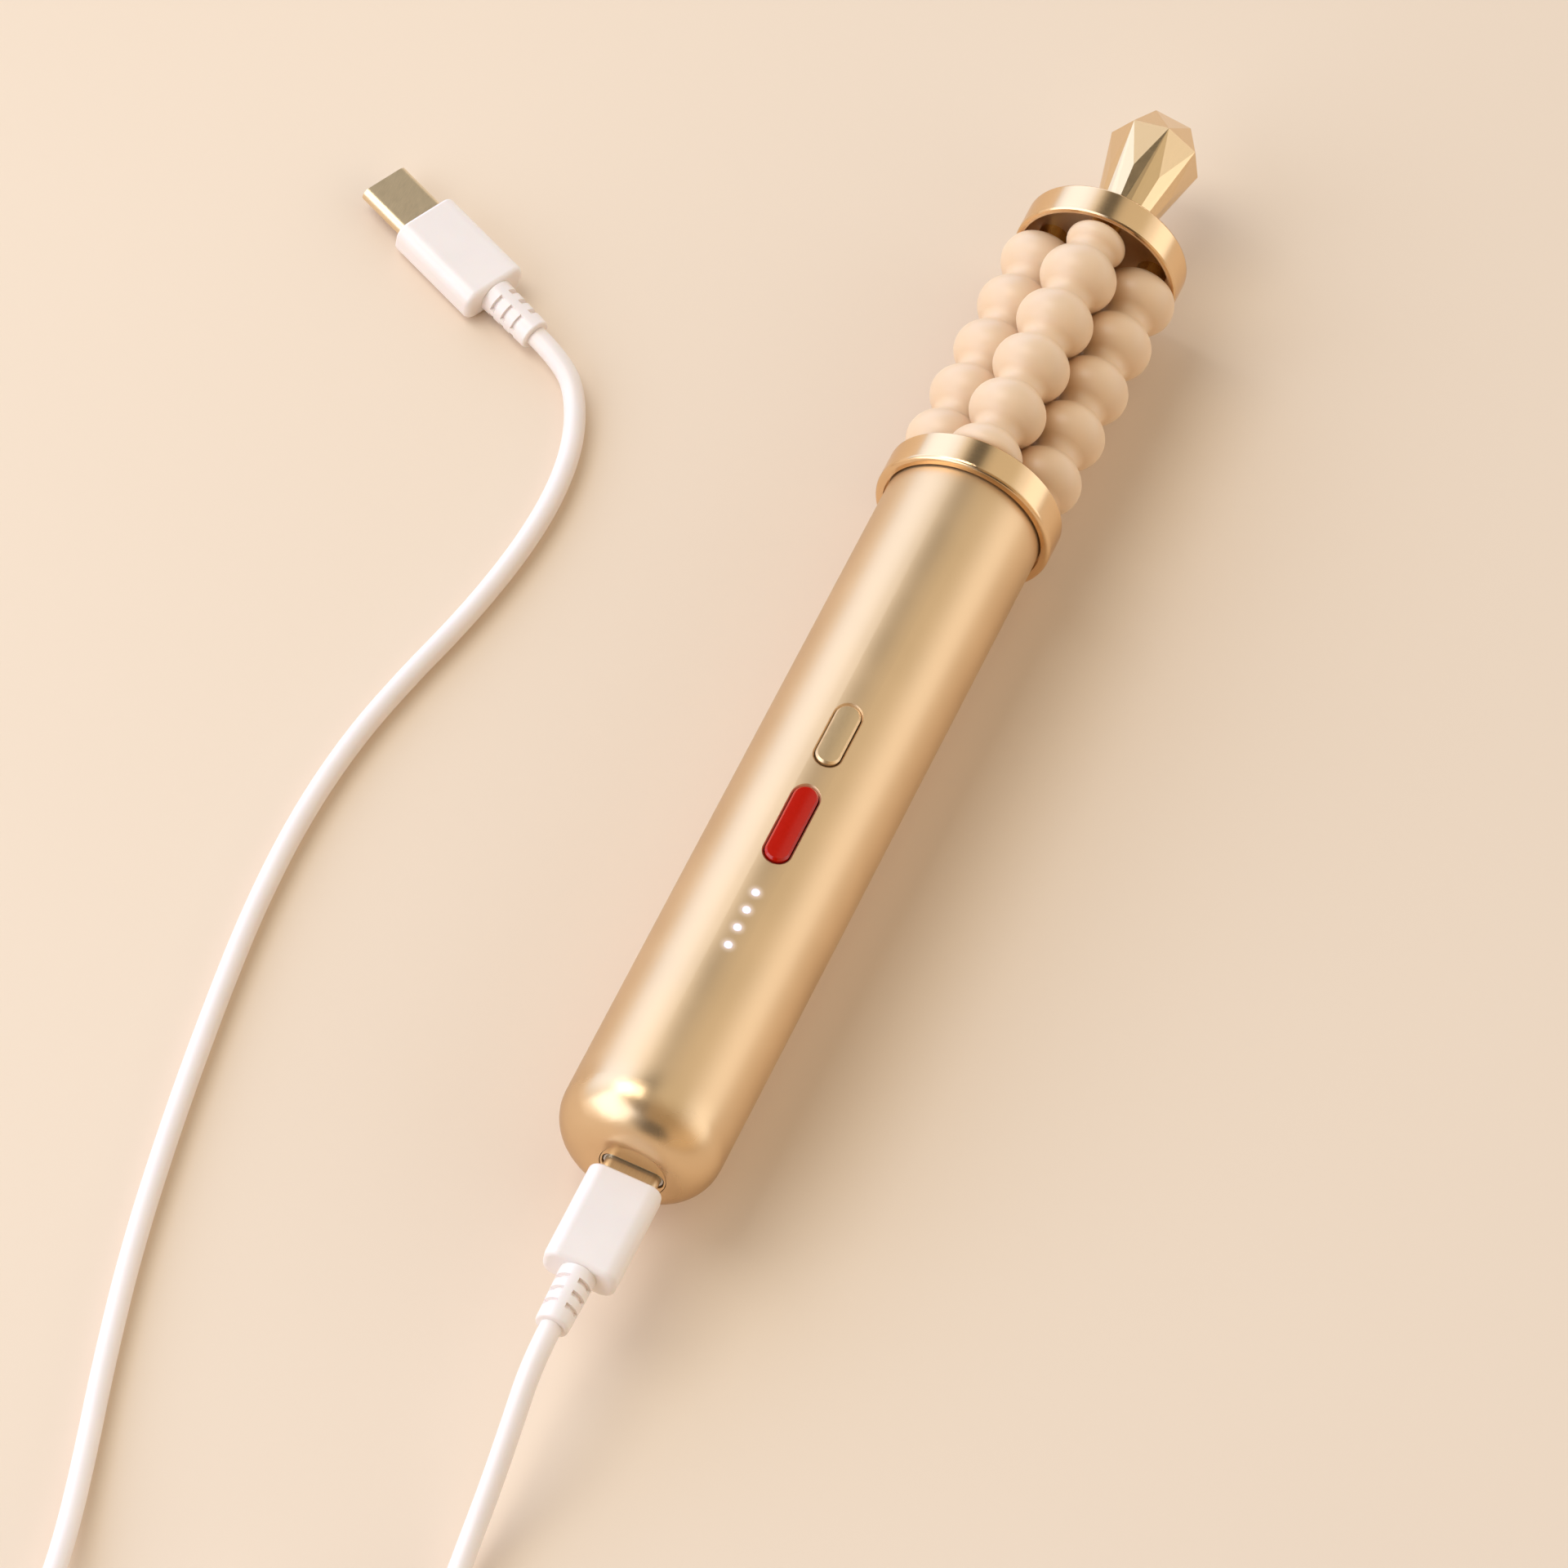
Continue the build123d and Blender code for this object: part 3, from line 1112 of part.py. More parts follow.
def main():
    os.makedirs("parts", exist_ok=True)
    write(handle_tube(), "handle_tube")
    write(port_bezel(), "port_bezel")
    write(usb_receptacle(), "usb_receptacle")
    write(usb_tongue(), "usb_tongue")
    write(port_board(), "port_board")
    write(port_leads(), "port_leads")
    write(inner_frame(), "inner_frame")
    write(main_board(), "main_board")
    write(board_components(), "board_components")
    screws = [small_screw(station, across, BOARD_TOP) for station, across in board_screw_places()]
    write(Compound(children=screws), "board_screws")
    write(battery_cell(), "battery_cell")
    write(cell_tabs(), "cell_tabs")
    write(cell_pad(), "cell_pad")
    write(indicator_leds(), "indicator_leds")
    write(light_guide(), "light_guide")
    for name, length, station in (
        ("power", POWER_LENGTH, POWER_STATION),
        ("mode", MODE_LENGTH, MODE_STATION),
    ):
        write(button(length, station), f"{name}_button")
        write(plunger(station), f"{name}_plunger")
        write(switch(station), f"{name}_switch")
    write(gear_motor(), "gear_motor")
    write(motor_leads(), "motor_leads")
    write(gearbox(), "gearbox")
    write(motor_clamp(), "motor_clamp")
    screws = [small_screw(*place, CLAMP_TOP) for place in clamp_screw_places()]
    write(Compound(children=screws), "clamp_screws")
    write(front_bulkhead(), "front_bulkhead")
    write(bulkhead_screws(), "bulkhead_screws")
    write(seal_ring(), "seal_ring")
    write(bearing_race(True), "bearing_outer_race")
    write(bearing_balls(), "bearing_balls")
    write(bearing_race(False), "bearing_inner_race")
    write(output_shaft(), "output_shaft")
    write(shaft_coupler(), "shaft_coupler")
    write(coupler_screws(), "coupler_screws")
    write(head_shaft(), "head_shaft")
    write(shaft_nut(), "shaft_nut")
    write(lower_ring(), "lower_ring")
    write(upper_ring(), "upper_ring")
    write(roller_axles(), "roller_axles")
    write(roller_bushes(), "roller_bushes")
    for index in range(ROLLER_COUNT):
        write(placed_roller(index), f"roller_{index + 1}")
    write(faceted_tip(), "faceted_tip")
    for name, place in (("plug", NEAR_PLUG), ("far_plug", far_place())):
        write(place * plug_shell(), f"{name}_shell")
        write(place * plug_insulator(), f"{name}_insulator")
        write(place * plug_body(), f"{name}_body")
        write(place * strain_relief(), f"{name}_strain_relief")
    write(cord_lead(), "cord_lead")
    write(cord_coil(), "cord_coil")
    write(coil_ties(), "coil_ties")
    write(cord_tail(), "cord_tail")


main()
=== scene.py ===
import json
import math

import bpy
from mathutils import Matrix, Vector


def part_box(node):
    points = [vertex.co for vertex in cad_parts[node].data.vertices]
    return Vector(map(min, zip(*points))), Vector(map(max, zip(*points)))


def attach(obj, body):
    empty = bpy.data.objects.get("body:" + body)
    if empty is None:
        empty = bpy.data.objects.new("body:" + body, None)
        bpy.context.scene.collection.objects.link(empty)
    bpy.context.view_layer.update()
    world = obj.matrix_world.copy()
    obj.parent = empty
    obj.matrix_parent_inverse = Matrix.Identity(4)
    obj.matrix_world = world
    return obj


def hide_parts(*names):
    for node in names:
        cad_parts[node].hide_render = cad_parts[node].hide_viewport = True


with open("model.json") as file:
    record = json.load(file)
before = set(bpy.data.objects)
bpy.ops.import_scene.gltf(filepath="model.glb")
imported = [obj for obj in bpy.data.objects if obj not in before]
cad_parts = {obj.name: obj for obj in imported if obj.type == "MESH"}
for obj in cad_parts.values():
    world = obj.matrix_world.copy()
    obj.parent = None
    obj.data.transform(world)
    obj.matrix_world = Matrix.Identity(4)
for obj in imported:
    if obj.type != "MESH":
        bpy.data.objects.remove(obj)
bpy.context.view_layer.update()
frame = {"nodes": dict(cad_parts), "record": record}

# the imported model's own frame: metres, +Y towards the tip, +Z up
MM = 0.001
HANDLE_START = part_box("handle_tube")[0].y
AXIS_HEIGHT = (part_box("lower_ring")[0].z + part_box("lower_ring")[1].z) / 2

# camera, angles in degrees
VIEW_AZIMUTH = 10.96
VIEW_ELEVATION = 55.19
VIEW_ROLL = 14.54
VIEW_TARGET = (-6.95 * MM, -24.0 * MM, 0.0)
VIEW_DISTANCE = 1398.8 * MM
VIEW_CLIP = (0.05, 30.0)
LENS = 225.0
SENSOR = 36.0

# cord, in metres
CORD_DIAMETER = 3.2 * MM

# cord, in millimetres
PORT_ACROSS = 1.3  # the port sits beside the round end's middle
RELIEF_END = -130.1  # Y where the cord leaves the near strain relief
CORD_LIE = 1.6  # height of the cord's middle where it lies on the floor
COIL_CENTRE = (-16.7, -213.0)
COIL_RADIUS = 26.0  # outermost half turn
COIL_STEP = 1.85  # between the radii of one half turn and the next
COIL_LOW = 2.2  # height of the lower layer's middle, on the ties
COIL_HIGH = 5.85  # height of the upper layer's middle
COIL_LOWER_HALF_TURNS = 5
COIL_UPPER_HALF_TURNS = 3
COIL_POINTS = 8  # in each half turn

# the cord's curve
CORD_ORDER = 3
CORD_STEPS = 10  # between two points
CORD_ROUNDNESS = 8

# where a finish changes, in metres
SMOOTH_END = (-0.0965, -0.0915)  # Y, between the round end's finish and the barrel's
CUP_WALL = (11.95 * MM, 12.25 * MM)  # radii between a ring's matt inside and its bright outside

# the four lights on the handle, in millimetres from its round end
LIGHT_STATIONS = (32.525, 35.775, 39.025, 42.275)
GLOW_COLOR = (0.96, 0.92, 1.0, 1.0)


# Camera


def place_camera():
    """The photograph's view: azimuth from -Y, elevation above the floor, and roll."""
    azimuth, elevation, roll = (math.radians(a) for a in (VIEW_AZIMUTH, VIEW_ELEVATION, VIEW_ROLL))
    flat = math.cos(elevation)
    back = Vector((math.sin(azimuth) * flat, -math.cos(azimuth) * flat, math.sin(elevation)))
    level = Vector((math.cos(azimuth), math.sin(azimuth), 0.0))
    upright = back.cross(level)
    right = level * math.cos(roll) + upright * math.sin(roll)
    up = upright * math.cos(roll) - level * math.sin(roll)
    data = bpy.data.cameras.new("camera")
    data.lens = LENS
    data.sensor_width = SENSOR
    data.clip_start, data.clip_end = VIEW_CLIP
    camera = bpy.data.objects.new("camera", data)
    bpy.context.scene.collection.objects.link(camera)
    turn = Matrix((right, up, back)).transposed().to_4x4()
    camera.matrix_world = Matrix.Translation(Vector(VIEW_TARGET) + back * VIEW_DISTANCE) @ turn
    bpy.context.scene.camera = camera


# Colours and shader nodes

NOISE_MIDDLE = (0.3, 0.7)  # where most of a noise's values lie
MIX_FIRST, MIX_SECOND, MIX_RESULT = 6, 7, 2  # a Mix node's sockets for colours


def srgb(red, green, blue):
    """A colour written as it shows on screen, 0 to 255, as linear light."""
    values = []
    for value in (red, green, blue):
        share = value / 255
        values.append(share / 12.92 if share <= 0.04045 else ((share + 0.055) / 1.055) ** 2.4)
    return values


def shaded(color, share):
    return [min(1.0, value * share) for value in color]


class Graph:
    """A material's or the world's nodes, with short ways to add and join them."""

    def __init__(self, tree):
        self.nodes = tree.nodes
        self.links = tree.links

    def add(self, kind, **settings):
        node = self.nodes.new(kind)
        for key, value in settings.items():
            setattr(node, key, value)
        return node

    def join(self, output, socket):
        self.links.new(output, socket)

    def put(self, value, socket):
        """Joins an output to a socket, or sets a number or a colour on it."""
        if isinstance(value, bpy.types.NodeSocket):
            self.join(value, socket)
        elif isinstance(value, (int, float)):
            socket.default_value = value
        else:
            socket.default_value = (*value, 1.0)

    def split(self, vector):
        """A vector's X, Y and Z."""
        node = self.add("ShaderNodeSeparateXYZ")
        self.join(vector, node.inputs[0])
        return node.outputs

    def math(self, operation, first, second=None, clamp=False):
        node = self.add("ShaderNodeMath", operation=operation, use_clamp=clamp)
        self.put(first, node.inputs[0])
        if second is not None:
            self.put(second, node.inputs[1])
        return node.outputs[0]

    def ranged(self, value, old, new, curve="SMOOTHSTEP"):
        """A value's range turned into another range, and held beyond its ends."""
        node = self.add("ShaderNodeMapRange", interpolation_type=curve)
        for name, number in zip(("From Min", "From Max", "To Min", "To Max"), (*old, *new)):
            node.inputs[name].default_value = number
        self.join(value, node.inputs["Value"])
        return node.outputs["Result"]

    def tint(self, factor, first, second):
        """A colour between two, by a factor."""
        node = self.add("ShaderNodeMix", data_type="RGBA")
        self.put(first, node.inputs[MIX_FIRST])
        self.put(second, node.inputs[MIX_SECOND])
        self.join(factor, node.inputs["Factor"])
        return node.outputs[MIX_RESULT]


class Surface(Graph):
    """A material and its shader's sockets."""

    def __init__(self, name):
        self.material = bpy.data.materials.new(name)
        self.material.use_nodes = True
        super().__init__(self.material.node_tree)
        self.shader = self.nodes["Principled BSDF"]

    def set(self, **values):
        """Fixed numbers straight on the shader, by socket name with underscores."""
        for key, value in values.items():
            self.shader.inputs[key.replace("_", " ")].default_value = value

    def drive(self, name, output):
        self.join(output, self.shader.inputs[name])

    def place(self, stretch=(1.0, 1.0, 1.0)):
        """The object's own coordinates in metres, stretched."""
        coordinates = self.add("ShaderNodeTexCoord")
        mapping = self.add("ShaderNodeMapping")
        mapping.inputs["Scale"].default_value = stretch
        self.join(coordinates.outputs["Object"], mapping.inputs["Vector"])
        return mapping.outputs["Vector"]

    def turned_place(self):
        """Radius about the massager's axis as X and station along it as Y, for lathe marks."""
        place = self.split(self.add("ShaderNodeTexCoord").outputs["Object"])
        height = self.math("SUBTRACT", place["Z"], AXIS_HEIGHT)
        across = self.math("MULTIPLY", place["X"], place["X"])
        squares = self.math("MULTIPLY", height, height)
        radius = self.math("SQRT", self.math("ADD", across, squares))
        both = self.add("ShaderNodeCombineXYZ")
        self.join(radius, both.inputs["X"])
        self.join(place["Y"], both.inputs["Y"])
        return both.outputs["Vector"]

    def noise(self, place, size, detail=2.0, roughness=0.5):
        """Noise with features of a size in metres."""
        node = self.add("ShaderNodeTexNoise")
        node.inputs["Scale"].default_value = 1 / size
        node.inputs["Detail"].default_value = detail
        node.inputs["Roughness"].default_value = roughness
        self.join(place, node.inputs["Vector"])
        return node.outputs["Fac"]

    def spread(self, noise, low, high):
        """A noise's middle turned into a range of numbers."""
        return self.ranged(noise, NOISE_MIDDLE, (low, high), "LINEAR")

    def color(self, noise, color, share):
        """Colour that wanders by a share of itself."""
        wander = self.spread(noise, 0.0, 1.0)
        self.drive("Base Color", self.tint(wander, shaded(color, 1 - share), shaded(color, 1 + share)))

    def rough(self, noise, low, high):
        self.drive("Roughness", self.spread(noise, low, high))

    def bump(self, height, depth, strength, under=None):
        """Relief of a depth in metres, on top of another relief's normal if one is given."""
        node = self.add("ShaderNodeBump")
        node.inputs["Distance"].default_value = depth
        node.inputs["Strength"].default_value = strength
        self.join(height, node.inputs["Height"])
        if under is not None:
            self.join(under, node.inputs["Normal"])
        self.drive("Normal", node.outputs["Normal"])
        return node.outputs["Normal"]

    def glow(self, reach, power, strength):
        """Light that falls off around each of the four lights, given off by the surface itself; on the
        handle's gold it is painted light.
        """
        place = self.add("ShaderNodeTexCoord").outputs["Object"]
        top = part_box("handle_tube")[1].z
        total = None
        for station in LIGHT_STATIONS:
            distance = self.add("ShaderNodeVectorMath", operation="DISTANCE")
            self.join(place, distance.inputs[0])
            distance.inputs[1].default_value = (0.0, HANDLE_START + station * MM, top)
            far = self.math("DIVIDE", distance.outputs["Value"], reach)
            halo = self.math("POWER", self.math("SUBTRACT", 1.0, far, clamp=True), power)
            total = halo if total is None else self.math("ADD", total, halo)
        self.drive("Emission Strength", self.math("MULTIPLY", total, strength))
        self.set(Emission_Color=GLOW_COLOR)


# Materials


def satin_gold():
    """Fine-blasted anodised aluminium, smoother at the round end, with a painted glow of light around
    each of the four lights.
    """
    s = Surface("satin_gold")
    s.set(Metallic=0.85, Coat_Weight=0.35, Coat_Roughness=0.24, Coat_IOR=1.6)
    s.set(Specular_Tint=(0.62, 0.52, 0.42, 1.0))
    grain = s.noise(s.place(), 0.11 * MM, detail=1.0)
    cloud = s.noise(s.place(), 14.0 * MM)
    s.color(cloud, srgb(226, 193, 150), share=0.03)
    station = s.split(s.turned_place())["Y"]
    finish = s.ranged(station, SMOOTH_END, (0.28, 0.41))
    s.drive("Roughness", s.math("MULTIPLY", s.spread(cloud, 0.95, 1.07), finish))
    waves = s.bump(cloud, depth=0.05 * MM, strength=0.6)
    fading = s.math("MULTIPLY", grain, s.ranged(station, SMOOTH_END, (0.1, 1.0)))
    s.bump(fading, depth=0.012 * MM, strength=0.35, under=waves)
    # painted light: the gold glows around each of the four lights, standing in for their light
    # spilling onto the tube
    s.glow(reach=1.5 * MM, power=2.0, strength=0.9)
    return s.material


def turned_gold(name, color, roughness):
    """Gold with fine lathe marks around the axis, matt on the inside."""
    s = Surface(name)
    s.set(Coat_Weight=0.4, Coat_Roughness=0.1, Coat_IOR=1.6)
    s.set(Specular_Tint=(0.86, 0.74, 0.6, 1.0))
    turned = s.turned_place()
    radius = s.split(turned)["X"]
    marks = s.noise(turned, 0.12 * MM, detail=3.0, roughness=0.7)
    cloud = s.noise(s.place(), 8.0 * MM)
    s.color(marks, srgb(*color), share=0.025)
    finish = s.ranged(radius, CUP_WALL, (0.45, roughness))
    s.drive("Roughness", s.math("MULTIPLY", s.spread(marks, 0.88, 1.12), finish))
    s.drive("Metallic", s.ranged(radius, CUP_WALL, (0.7, 0.95)))
    waves = s.bump(cloud, depth=0.02 * MM, strength=0.4)
    s.bump(marks, depth=0.002 * MM, strength=0.4, under=waves)
    return s.material


def polished_gold():
    """Faceted gold with a slight brushing along the axis."""
    s = Surface("polished_gold")
    s.set(Metallic=0.95, Coat_Weight=0.4, Coat_Roughness=0.08, Coat_IOR=1.6)
    brush = s.noise(s.place((1.0, 0.12, 1.0)), 0.2 * MM)
    s.color(brush, srgb(228, 196, 150), share=0.02)
    s.rough(brush, 0.16, 0.2)
    s.bump(brush, depth=0.002 * MM, strength=0.3)
    return s.material


def bead_plastic():
    """Satin moulded beads: skin-coloured, with a soft sheen."""
    s = Surface("bead")
    fine = s.noise(s.place(), 0.18 * MM)
    cloud = s.noise(s.place(), 6.0 * MM)
    s.color(cloud, srgb(231, 200, 165), share=0.025)
    s.rough(fine, 0.38, 0.46)
    s.bump(fine, depth=0.01 * MM, strength=0.3)
    s.set(Subsurface_Weight=0.14, Subsurface_Scale=1.0 * MM, Subsurface_Radius=(1.0, 0.6, 0.4))
    s.set(Coat_Weight=0.25, Coat_Roughness=0.35, Specular_IOR_Level=0.55)
    return s.material


def red_plastic():
    """Glossy red plastic."""
    s = Surface("red_button")
    fine = s.noise(s.place(), 0.5 * MM)
    s.color(fine, srgb(182, 20, 2), share=0.03)
    s.rough(fine, 0.2, 0.24)
    s.bump(fine, depth=0.003 * MM, strength=0.25)
    s.set(Coat_Weight=0.5, Coat_Roughness=0.05, Coat_IOR=1.4, Specular_IOR_Level=0.3)
    s.set(Subsurface_Weight=0.02, Subsurface_Scale=0.6 * MM, Subsurface_Radius=(1.0, 0.2, 0.1))
    return s.material


def gold_button():
    """Satin gold with a slight brushing along the axis."""
    s = Surface("gold_button")
    s.set(Metallic=0.8, Coat_Weight=0.5, Coat_Roughness=0.15, Coat_IOR=1.6)
    brush = s.noise(s.place((1.0, 0.15, 1.0)), 0.15 * MM)
    s.color(brush, srgb(228, 196, 150), share=0.015)
    s.rough(brush, 0.34, 0.38)
    s.bump(brush, depth=0.002 * MM, strength=0.3)
    return s.material


def clear_guide():
    """Clear guide lit from below."""
    s = Surface("light")
    cloud = s.noise(s.place(), 0.6 * MM)
    s.color(cloud, srgb(214, 206, 214), share=0.02)
    s.rough(cloud, 0.25, 0.35)
    s.glow(reach=0.95 * MM, power=1.2, strength=1.15)
    return s.material


def moulded(name, color, low, high, grain=0.25 * MM, depth=0.012 * MM, **sockets):
    """Moulded plastic or rubber with a fine texture, between two roughnesses."""
    s = Surface(name)
    fine = s.noise(s.place(), grain)
    cloud = s.noise(s.place(), 9.0 * MM)
    s.color(cloud, srgb(*color), share=0.02)
    s.rough(fine, low, high)
    s.bump(fine, depth, strength=0.3)
    s.set(**sockets)
    return s.material


def brushed(name, color, low, high, depth=0.006 * MM):
    """Metal with brush marks along the axis, between two roughnesses."""
    s = Surface(name)
    s.set(Metallic=0.9)
    marks = s.noise(s.place((1.0, 0.08, 1.0)), 0.12 * MM, detail=3.0, roughness=0.7)
    s.color(marks, srgb(*color), share=0.06)
    s.rough(marks, low, high)
    s.bump(marks, depth, strength=0.4)
    return s.material


def circuit_board():
    """Green solder mask over faint copper tracks."""
    s = Surface("board")
    place = s.place()
    tracks = s.add("ShaderNodeTexBrick")
    s.join(place, tracks.inputs["Vector"])
    tracks.inputs["Scale"].default_value = 260.0
    tracks.inputs["Mortar Size"].default_value = 0.04
    for name, color in (("Color1", (14, 84, 52)), ("Color2", (10, 74, 44)), ("Mortar", (40, 124, 74))):
        s.put(srgb(*color), tracks.inputs[name])
    s.drive("Base Color", tracks.outputs["Color"])
    s.rough(s.noise(place, 0.5 * MM), 0.3, 0.4)
    return s.material


# the lead's white plastic lets a little light in
SOFT_WHITE = {
    "Coat_Weight": 0.35,
    "Coat_Roughness": 0.25,
    "Subsurface_Weight": 0.1,
    "Subsurface_Scale": 0.8 * MM,
}

# the plugs' bare shells look warmer than the record's steel
SHELL_MATERIALS = {"plug_shell": "shell_gold", "far_plug_shell": "shell_gold"}


def make_materials():
    """One material for each of the record's slots, and the shells' own."""
    return {
        "steel": brushed("steel", (186, 184, 180), 0.22, 0.34),
        "handle_gold": satin_gold(),
        "ring_gold": turned_gold("ring_gold", (232, 196, 150), 0.2),
        "tip_gold": polished_gold(),
        "bezel_gold": turned_gold("bezel_gold", (234, 200, 152), 0.5),
        "bead": bead_plastic(),
        "power_red": red_plastic(),
        "mode_gold": gold_button(),
        "light": clear_guide(),
        "shell_gold": brushed("shell_gold", (232, 209, 172), 0.32, 0.38, depth=0.002 * MM),
        "motor_steel": brushed("motor_steel", (160, 160, 162), 0.3, 0.42),
        "brass": brushed("brass", (196, 160, 90), 0.25, 0.36),
        "copper_wire": moulded("wire_red", (176, 32, 26), 0.4, 0.5),
        "board_green": circuit_board(),
        "chip_black": moulded("chip_black", (26, 26, 28), 0.5, 0.6),
        "cell_blue": moulded("cell_blue", (44, 92, 150), 0.25, 0.35),
        "frame_white": moulded("frame_white", (216, 215, 212), 0.45, 0.55),
        "pad_grey": moulded("pad_grey", (92, 92, 94), 0.85, 0.95, 0.6 * MM, 0.1 * MM),
        "felt": moulded("felt", (74, 68, 62), 0.9, 1.0, 0.15 * MM, 0.06 * MM, Sheen_Weight=0.4),
        "tongue_black": moulded("tongue_black", (28, 27, 27), 0.45, 0.55),
        "plug_white": moulded("plug_white", (242, 232, 226), 0.34, 0.42, **SOFT_WHITE),
        "cord_white": moulded("cord_white", (241, 230, 223), 0.42, 0.5, 0.3 * MM, **SOFT_WHITE),
        "tie_white": moulded("tie_white", (234, 226, 220), 0.5, 0.6),
    }


def dress_nodes(materials):
    """Gives each CAD node its slot's material."""
    for row in frame["record"]["subparts"]:
        node = frame["nodes"][row["node"]]
        name = SHELL_MATERIALS.get(row["node"], row["material_slot"])
        for slot in node.material_slots:
            slot.material = materials[name]


# Cord


def millimetres(points):
    return [tuple(value * MM for value in point) for point in points]


def lead_points():
    """From the near strain relief down to the floor and on to the coil."""
    return millimetres([
        (PORT_ACROSS, RELIEF_END, 13.6),
        (PORT_ACROSS, -136.5, 13.6),
        (2.4, -145.0, 10.9),
        (3.3, -153.5, 6.7),
        (4.0, -162.5, 3.6),
        (5.2, -173.5, 2.5),
        (6.9, -186.0, COIL_LOW),
        (8.5, -195.0, COIL_LOW),
        (9.3, -202.3, COIL_LOW),
        (9.3, -209.8, COIL_LOW),
    ])


def coil_points():
    """Half turns that wind in, one that climbs, and the ones that wind out again on top."""
    radii = [COIL_RADIUS - COIL_STEP * i for i in range(COIL_LOWER_HALF_TURNS + 1)]
    radii += [radii[-1] + COIL_STEP * (i + 1) for i in range(COIL_UPPER_HALF_TURNS)]
    widen = 1 / math.cos(math.pi / (2 * COIL_POINTS))  # the spline runs inside its points
    points = []
    crossing, side = COIL_RADIUS, -1
    for i, radius in enumerate(radii):
        low = COIL_LOW if i <= COIL_LOWER_HALF_TURNS else COIL_HIGH
        high = COIL_LOW if i < COIL_LOWER_HALF_TURNS else COIL_HIGH
        middle = crossing + radius * side
        for k in range(COIL_POINTS):
            share = (k + 0.5) / COIL_POINTS
            turn = math.pi * share
            x = COIL_CENTRE[0] + middle - side * radius * widen * math.cos(turn)
            y = COIL_CENTRE[1] + side * radius * widen * math.sin(turn)
            points.append((x, y, low + (high - low) * share))
        crossing += 2 * radius * side
        side = -side
    return millimetres(points)


def tail_points():
    """From the coil along the surface in a long bend to the far plug."""
    return millimetres([
        (-42.7, -209.8, COIL_HIGH),
        (-42.7, -202.8, COIL_HIGH),
        (-43.2, -194.0, 4.6),
        (-45.0, -184.0, 2.7),
        (-47.9, -172.0, 1.8),
        (-52.0, -157.0, CORD_LIE),
        (-56.4, -138.5, CORD_LIE),
        (-60.0, -118.0, CORD_LIE),
        (-62.8, -98.0, CORD_LIE),
        (-64.8, -80.0, CORD_LIE),
        (-65.4, -63.0, CORD_LIE),
        (-64.3, -47.5, CORD_LIE),
        (-61.8, -34.0, CORD_LIE),
        (-59.2, -23.0, CORD_LIE),
        (-57.4, -13.0, CORD_LIE),
        (-56.3, -3.6, CORD_LIE),
        (-56.1, 5.6, CORD_LIE),
        (-57.2, 14.4, CORD_LIE),
        (-60.0, 21.9, 2.0),
        (-63.909, 26.453, 2.9),
        (-69.8, 29.2, 2.9),
    ])


def cord_curve(material):
    """The whole cord as one round curve."""
    data = bpy.data.curves.new("cord", "CURVE")
    data.dimensions = "3D"
    data.bevel_depth = CORD_DIAMETER / 2
    data.bevel_resolution = CORD_ROUNDNESS
    data.resolution_u = CORD_STEPS
    data.use_fill_caps = True
    points = lead_points() + coil_points() + tail_points()
    spline = data.splines.new("NURBS")
    spline.points.add(len(points) - 1)
    for point, place in zip(spline.points, points):
        point.co = (*place, 1.0)
    spline.order_u = CORD_ORDER
    spline.use_endpoint_u = True
    data.materials.append(material)
    return data


def make_cord(material):
    """The bending cord that stands for the CAD model's lead, coil and tail."""
    cord = bpy.data.objects.new("charging_cord", cord_curve(material))
    bpy.context.scene.collection.objects.link(cord)
    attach(cord, "lead")
    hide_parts("cord_lead", "cord_coil", "cord_tail")


# Floor and light

FLOOR_COLOR = (238, 219, 197)
FLOOR_HALF = 6.0
SEEN_COLOR = (244, 232, 220)  # what the camera sees beyond the floor

COOL = (0.84, 1.0, 1.36)
MILD = (0.98, 0.965, 0.96)
WARM = (1.0, 0.92, 0.75)
# the studio's long panels: angle about Y in degrees from straight up, strength and tint
PANELS = (
    (-180, 0.34, WARM),
    (-112, 0.34, WARM),
    (-100, 0.7, MILD),
    (-88, 1.3, COOL),
    (-74, 1.7, COOL),
    (-55, 1.7, COOL),
    (-44, 1.5, COOL),
    (-33, 1.05, MILD),
    (-26, 0.4, WARM),
    (-20, 0.1, WARM),
    (-8, 0.09, WARM),
    (0, 0.6, WARM),
    (8, 0.76, WARM),
    (36, 0.76, WARM),
    (52, 1.15, MILD),
    (64, 1.55, MILD),
    (82, 1.6, MILD),
    (92, 0.75, MILD),
    (106, 0.3, WARM),
    (180, 0.34, WARM),
)
PANEL_TOP = 1.8  # the strength that the ramp's full value stands for

# the panels are dimmer and warmer towards the round end's side
END_TINT = (0.55, 0.42, 0.27)
END_RANGE = (-0.45, 0.3)  # Y of a direction, from that tint to none

# a dark flag in front of the round end, under the camera
FLAG_AIM = (0.2, -0.9, 0.38)
FLAG_EDGE = (0.94, 0.968)  # cosines of its outer and inner angle
FLAG_SHARE = 0.02  # of the panels' light that it leaves

# each lamp's name, place, aim, size, watts and tint
LAMPS = (
    ("key", (-0.64, -0.04, 1.02), (0, -0.02, 0), (0.6, 0.7), 4.75, (1.0, 0.985, 0.94)),
    ("front", (-0.84, -0.86, 0.52), (0, -0.1, 0), (1.25, 1.0), 7.8, (0.85, 0.97, 1.2)),
)


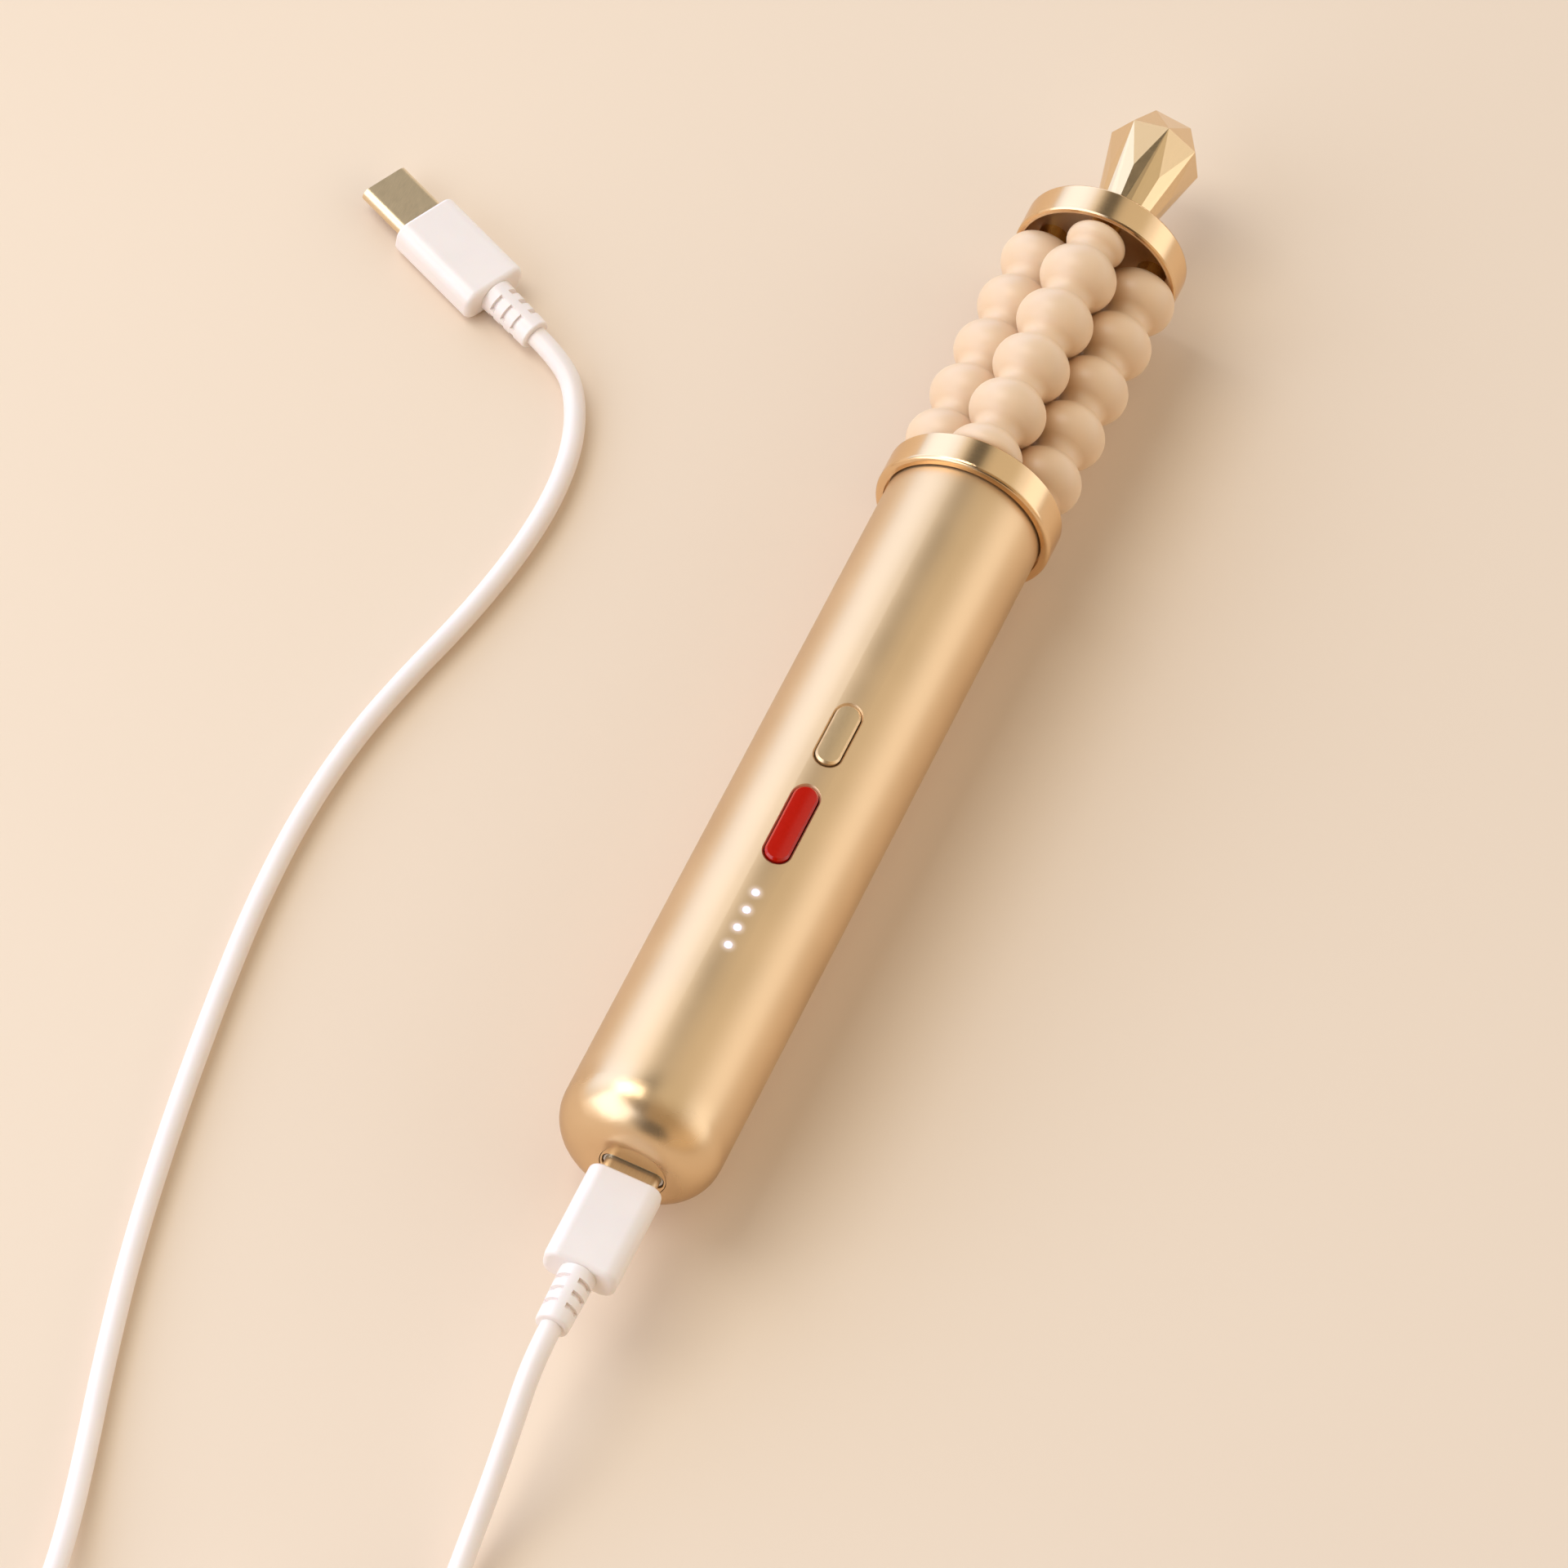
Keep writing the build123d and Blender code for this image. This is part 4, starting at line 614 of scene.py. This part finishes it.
def make_floor():
    """A plain pale floor that keeps the shadow."""
    mesh = bpy.data.meshes.new("floor")
    h = FLOOR_HALF
    mesh.from_pydata([(-h, -h, 0), (h, -h, 0), (h, h, 0), (-h, h, 0)], [], [(0, 1, 2, 3)])
    floor = bpy.data.objects.new("floor", mesh)
    bpy.context.scene.collection.objects.link(floor)
    s = Surface("floor")
    s.set(Specular_IOR_Level=0.2)
    s.color(s.noise(s.place(), 120 * MM, detail=1.0), srgb(*FLOOR_COLOR), share=0.006)
    s.rough(s.noise(s.place(), 2 * MM), 0.75, 0.85)
    mesh.materials.append(s.material)


def panel_light(g, place):
    """The panels' light by the direction's angle about Y."""
    angle = g.math("ARCTAN2", place["X"], place["Z"])
    ramp = g.add("ShaderNodeValToRGB")
    ramp.color_ramp.interpolation = "EASE"
    elements = ramp.color_ramp.elements
    while len(elements) < len(PANELS):
        elements.new(0.5)
    for element, (degrees, strength, tint) in zip(elements, PANELS):
        element.position = (degrees + 180) / 360
        element.color = (*(value * strength / PANEL_TOP for value in tint), 1.0)
    g.join(g.ranged(angle, (-math.pi, math.pi), (0.0, 1.0), "LINEAR"), ramp.inputs["Fac"])
    return ramp.outputs["Color"]


def make_world():
    """The panels, which the camera sees as one plain pale tone instead."""
    world = bpy.data.worlds.new("studio")
    bpy.context.scene.world = world
    world.use_nodes = True
    g = Graph(world.node_tree)
    direction = g.add("ShaderNodeTexCoord").outputs["Generated"]
    place = g.split(direction)
    lit = g.add("ShaderNodeVectorMath", operation="MULTIPLY")
    g.join(panel_light(g, place), lit.inputs[0])
    side = g.ranged(place["Y"], END_RANGE, (0.0, 1.0))
    g.join(g.tint(side, END_TINT, (1.0, 1.0, 1.0)), lit.inputs[1])
    facing = g.add("ShaderNodeVectorMath", operation="DOT_PRODUCT")
    g.join(direction, facing.inputs[0])
    facing.inputs[1].default_value = Vector(FLAG_AIM).normalized()
    flag = g.ranged(facing.outputs["Value"], FLAG_EDGE, (PANEL_TOP, FLAG_SHARE * PANEL_TOP))
    seen = g.add("ShaderNodeLightPath").outputs["Is Camera Ray"]
    strength = g.add("ShaderNodeMix", data_type="FLOAT")
    g.join(seen, strength.inputs["Factor"])
    g.join(flag, strength.inputs["A"])
    strength.inputs["B"].default_value = 1.0
    background = g.nodes["Background"]
    g.join(g.tint(seen, lit.outputs["Vector"], srgb(*SEEN_COLOR)), background.inputs["Color"])
    g.join(strength.outputs[0], background.inputs["Strength"])


def make_lamps():
    """Soft area lamps, each aimed at a point."""
    for name, place, aim, size, watts, tint in LAMPS:
        data = bpy.data.lights.new(name, "AREA")
        data.shape = "RECTANGLE"
        data.size, data.size_y = size
        data.energy = watts
        data.color = tint
        lamp = bpy.data.objects.new(name, data)
        lamp.location = place
        lamp.rotation_euler = (Vector(aim) - Vector(place)).to_track_quat("-Z", "Y").to_euler()
        bpy.context.scene.collection.objects.link(lamp)


def main():
    place_camera()
    materials = make_materials()
    dress_nodes(materials)
    make_cord(materials["cord_white"])
    make_floor()
    make_world()
    make_lamps()
    bpy.context.scene.view_settings.view_transform = "Standard"


main()
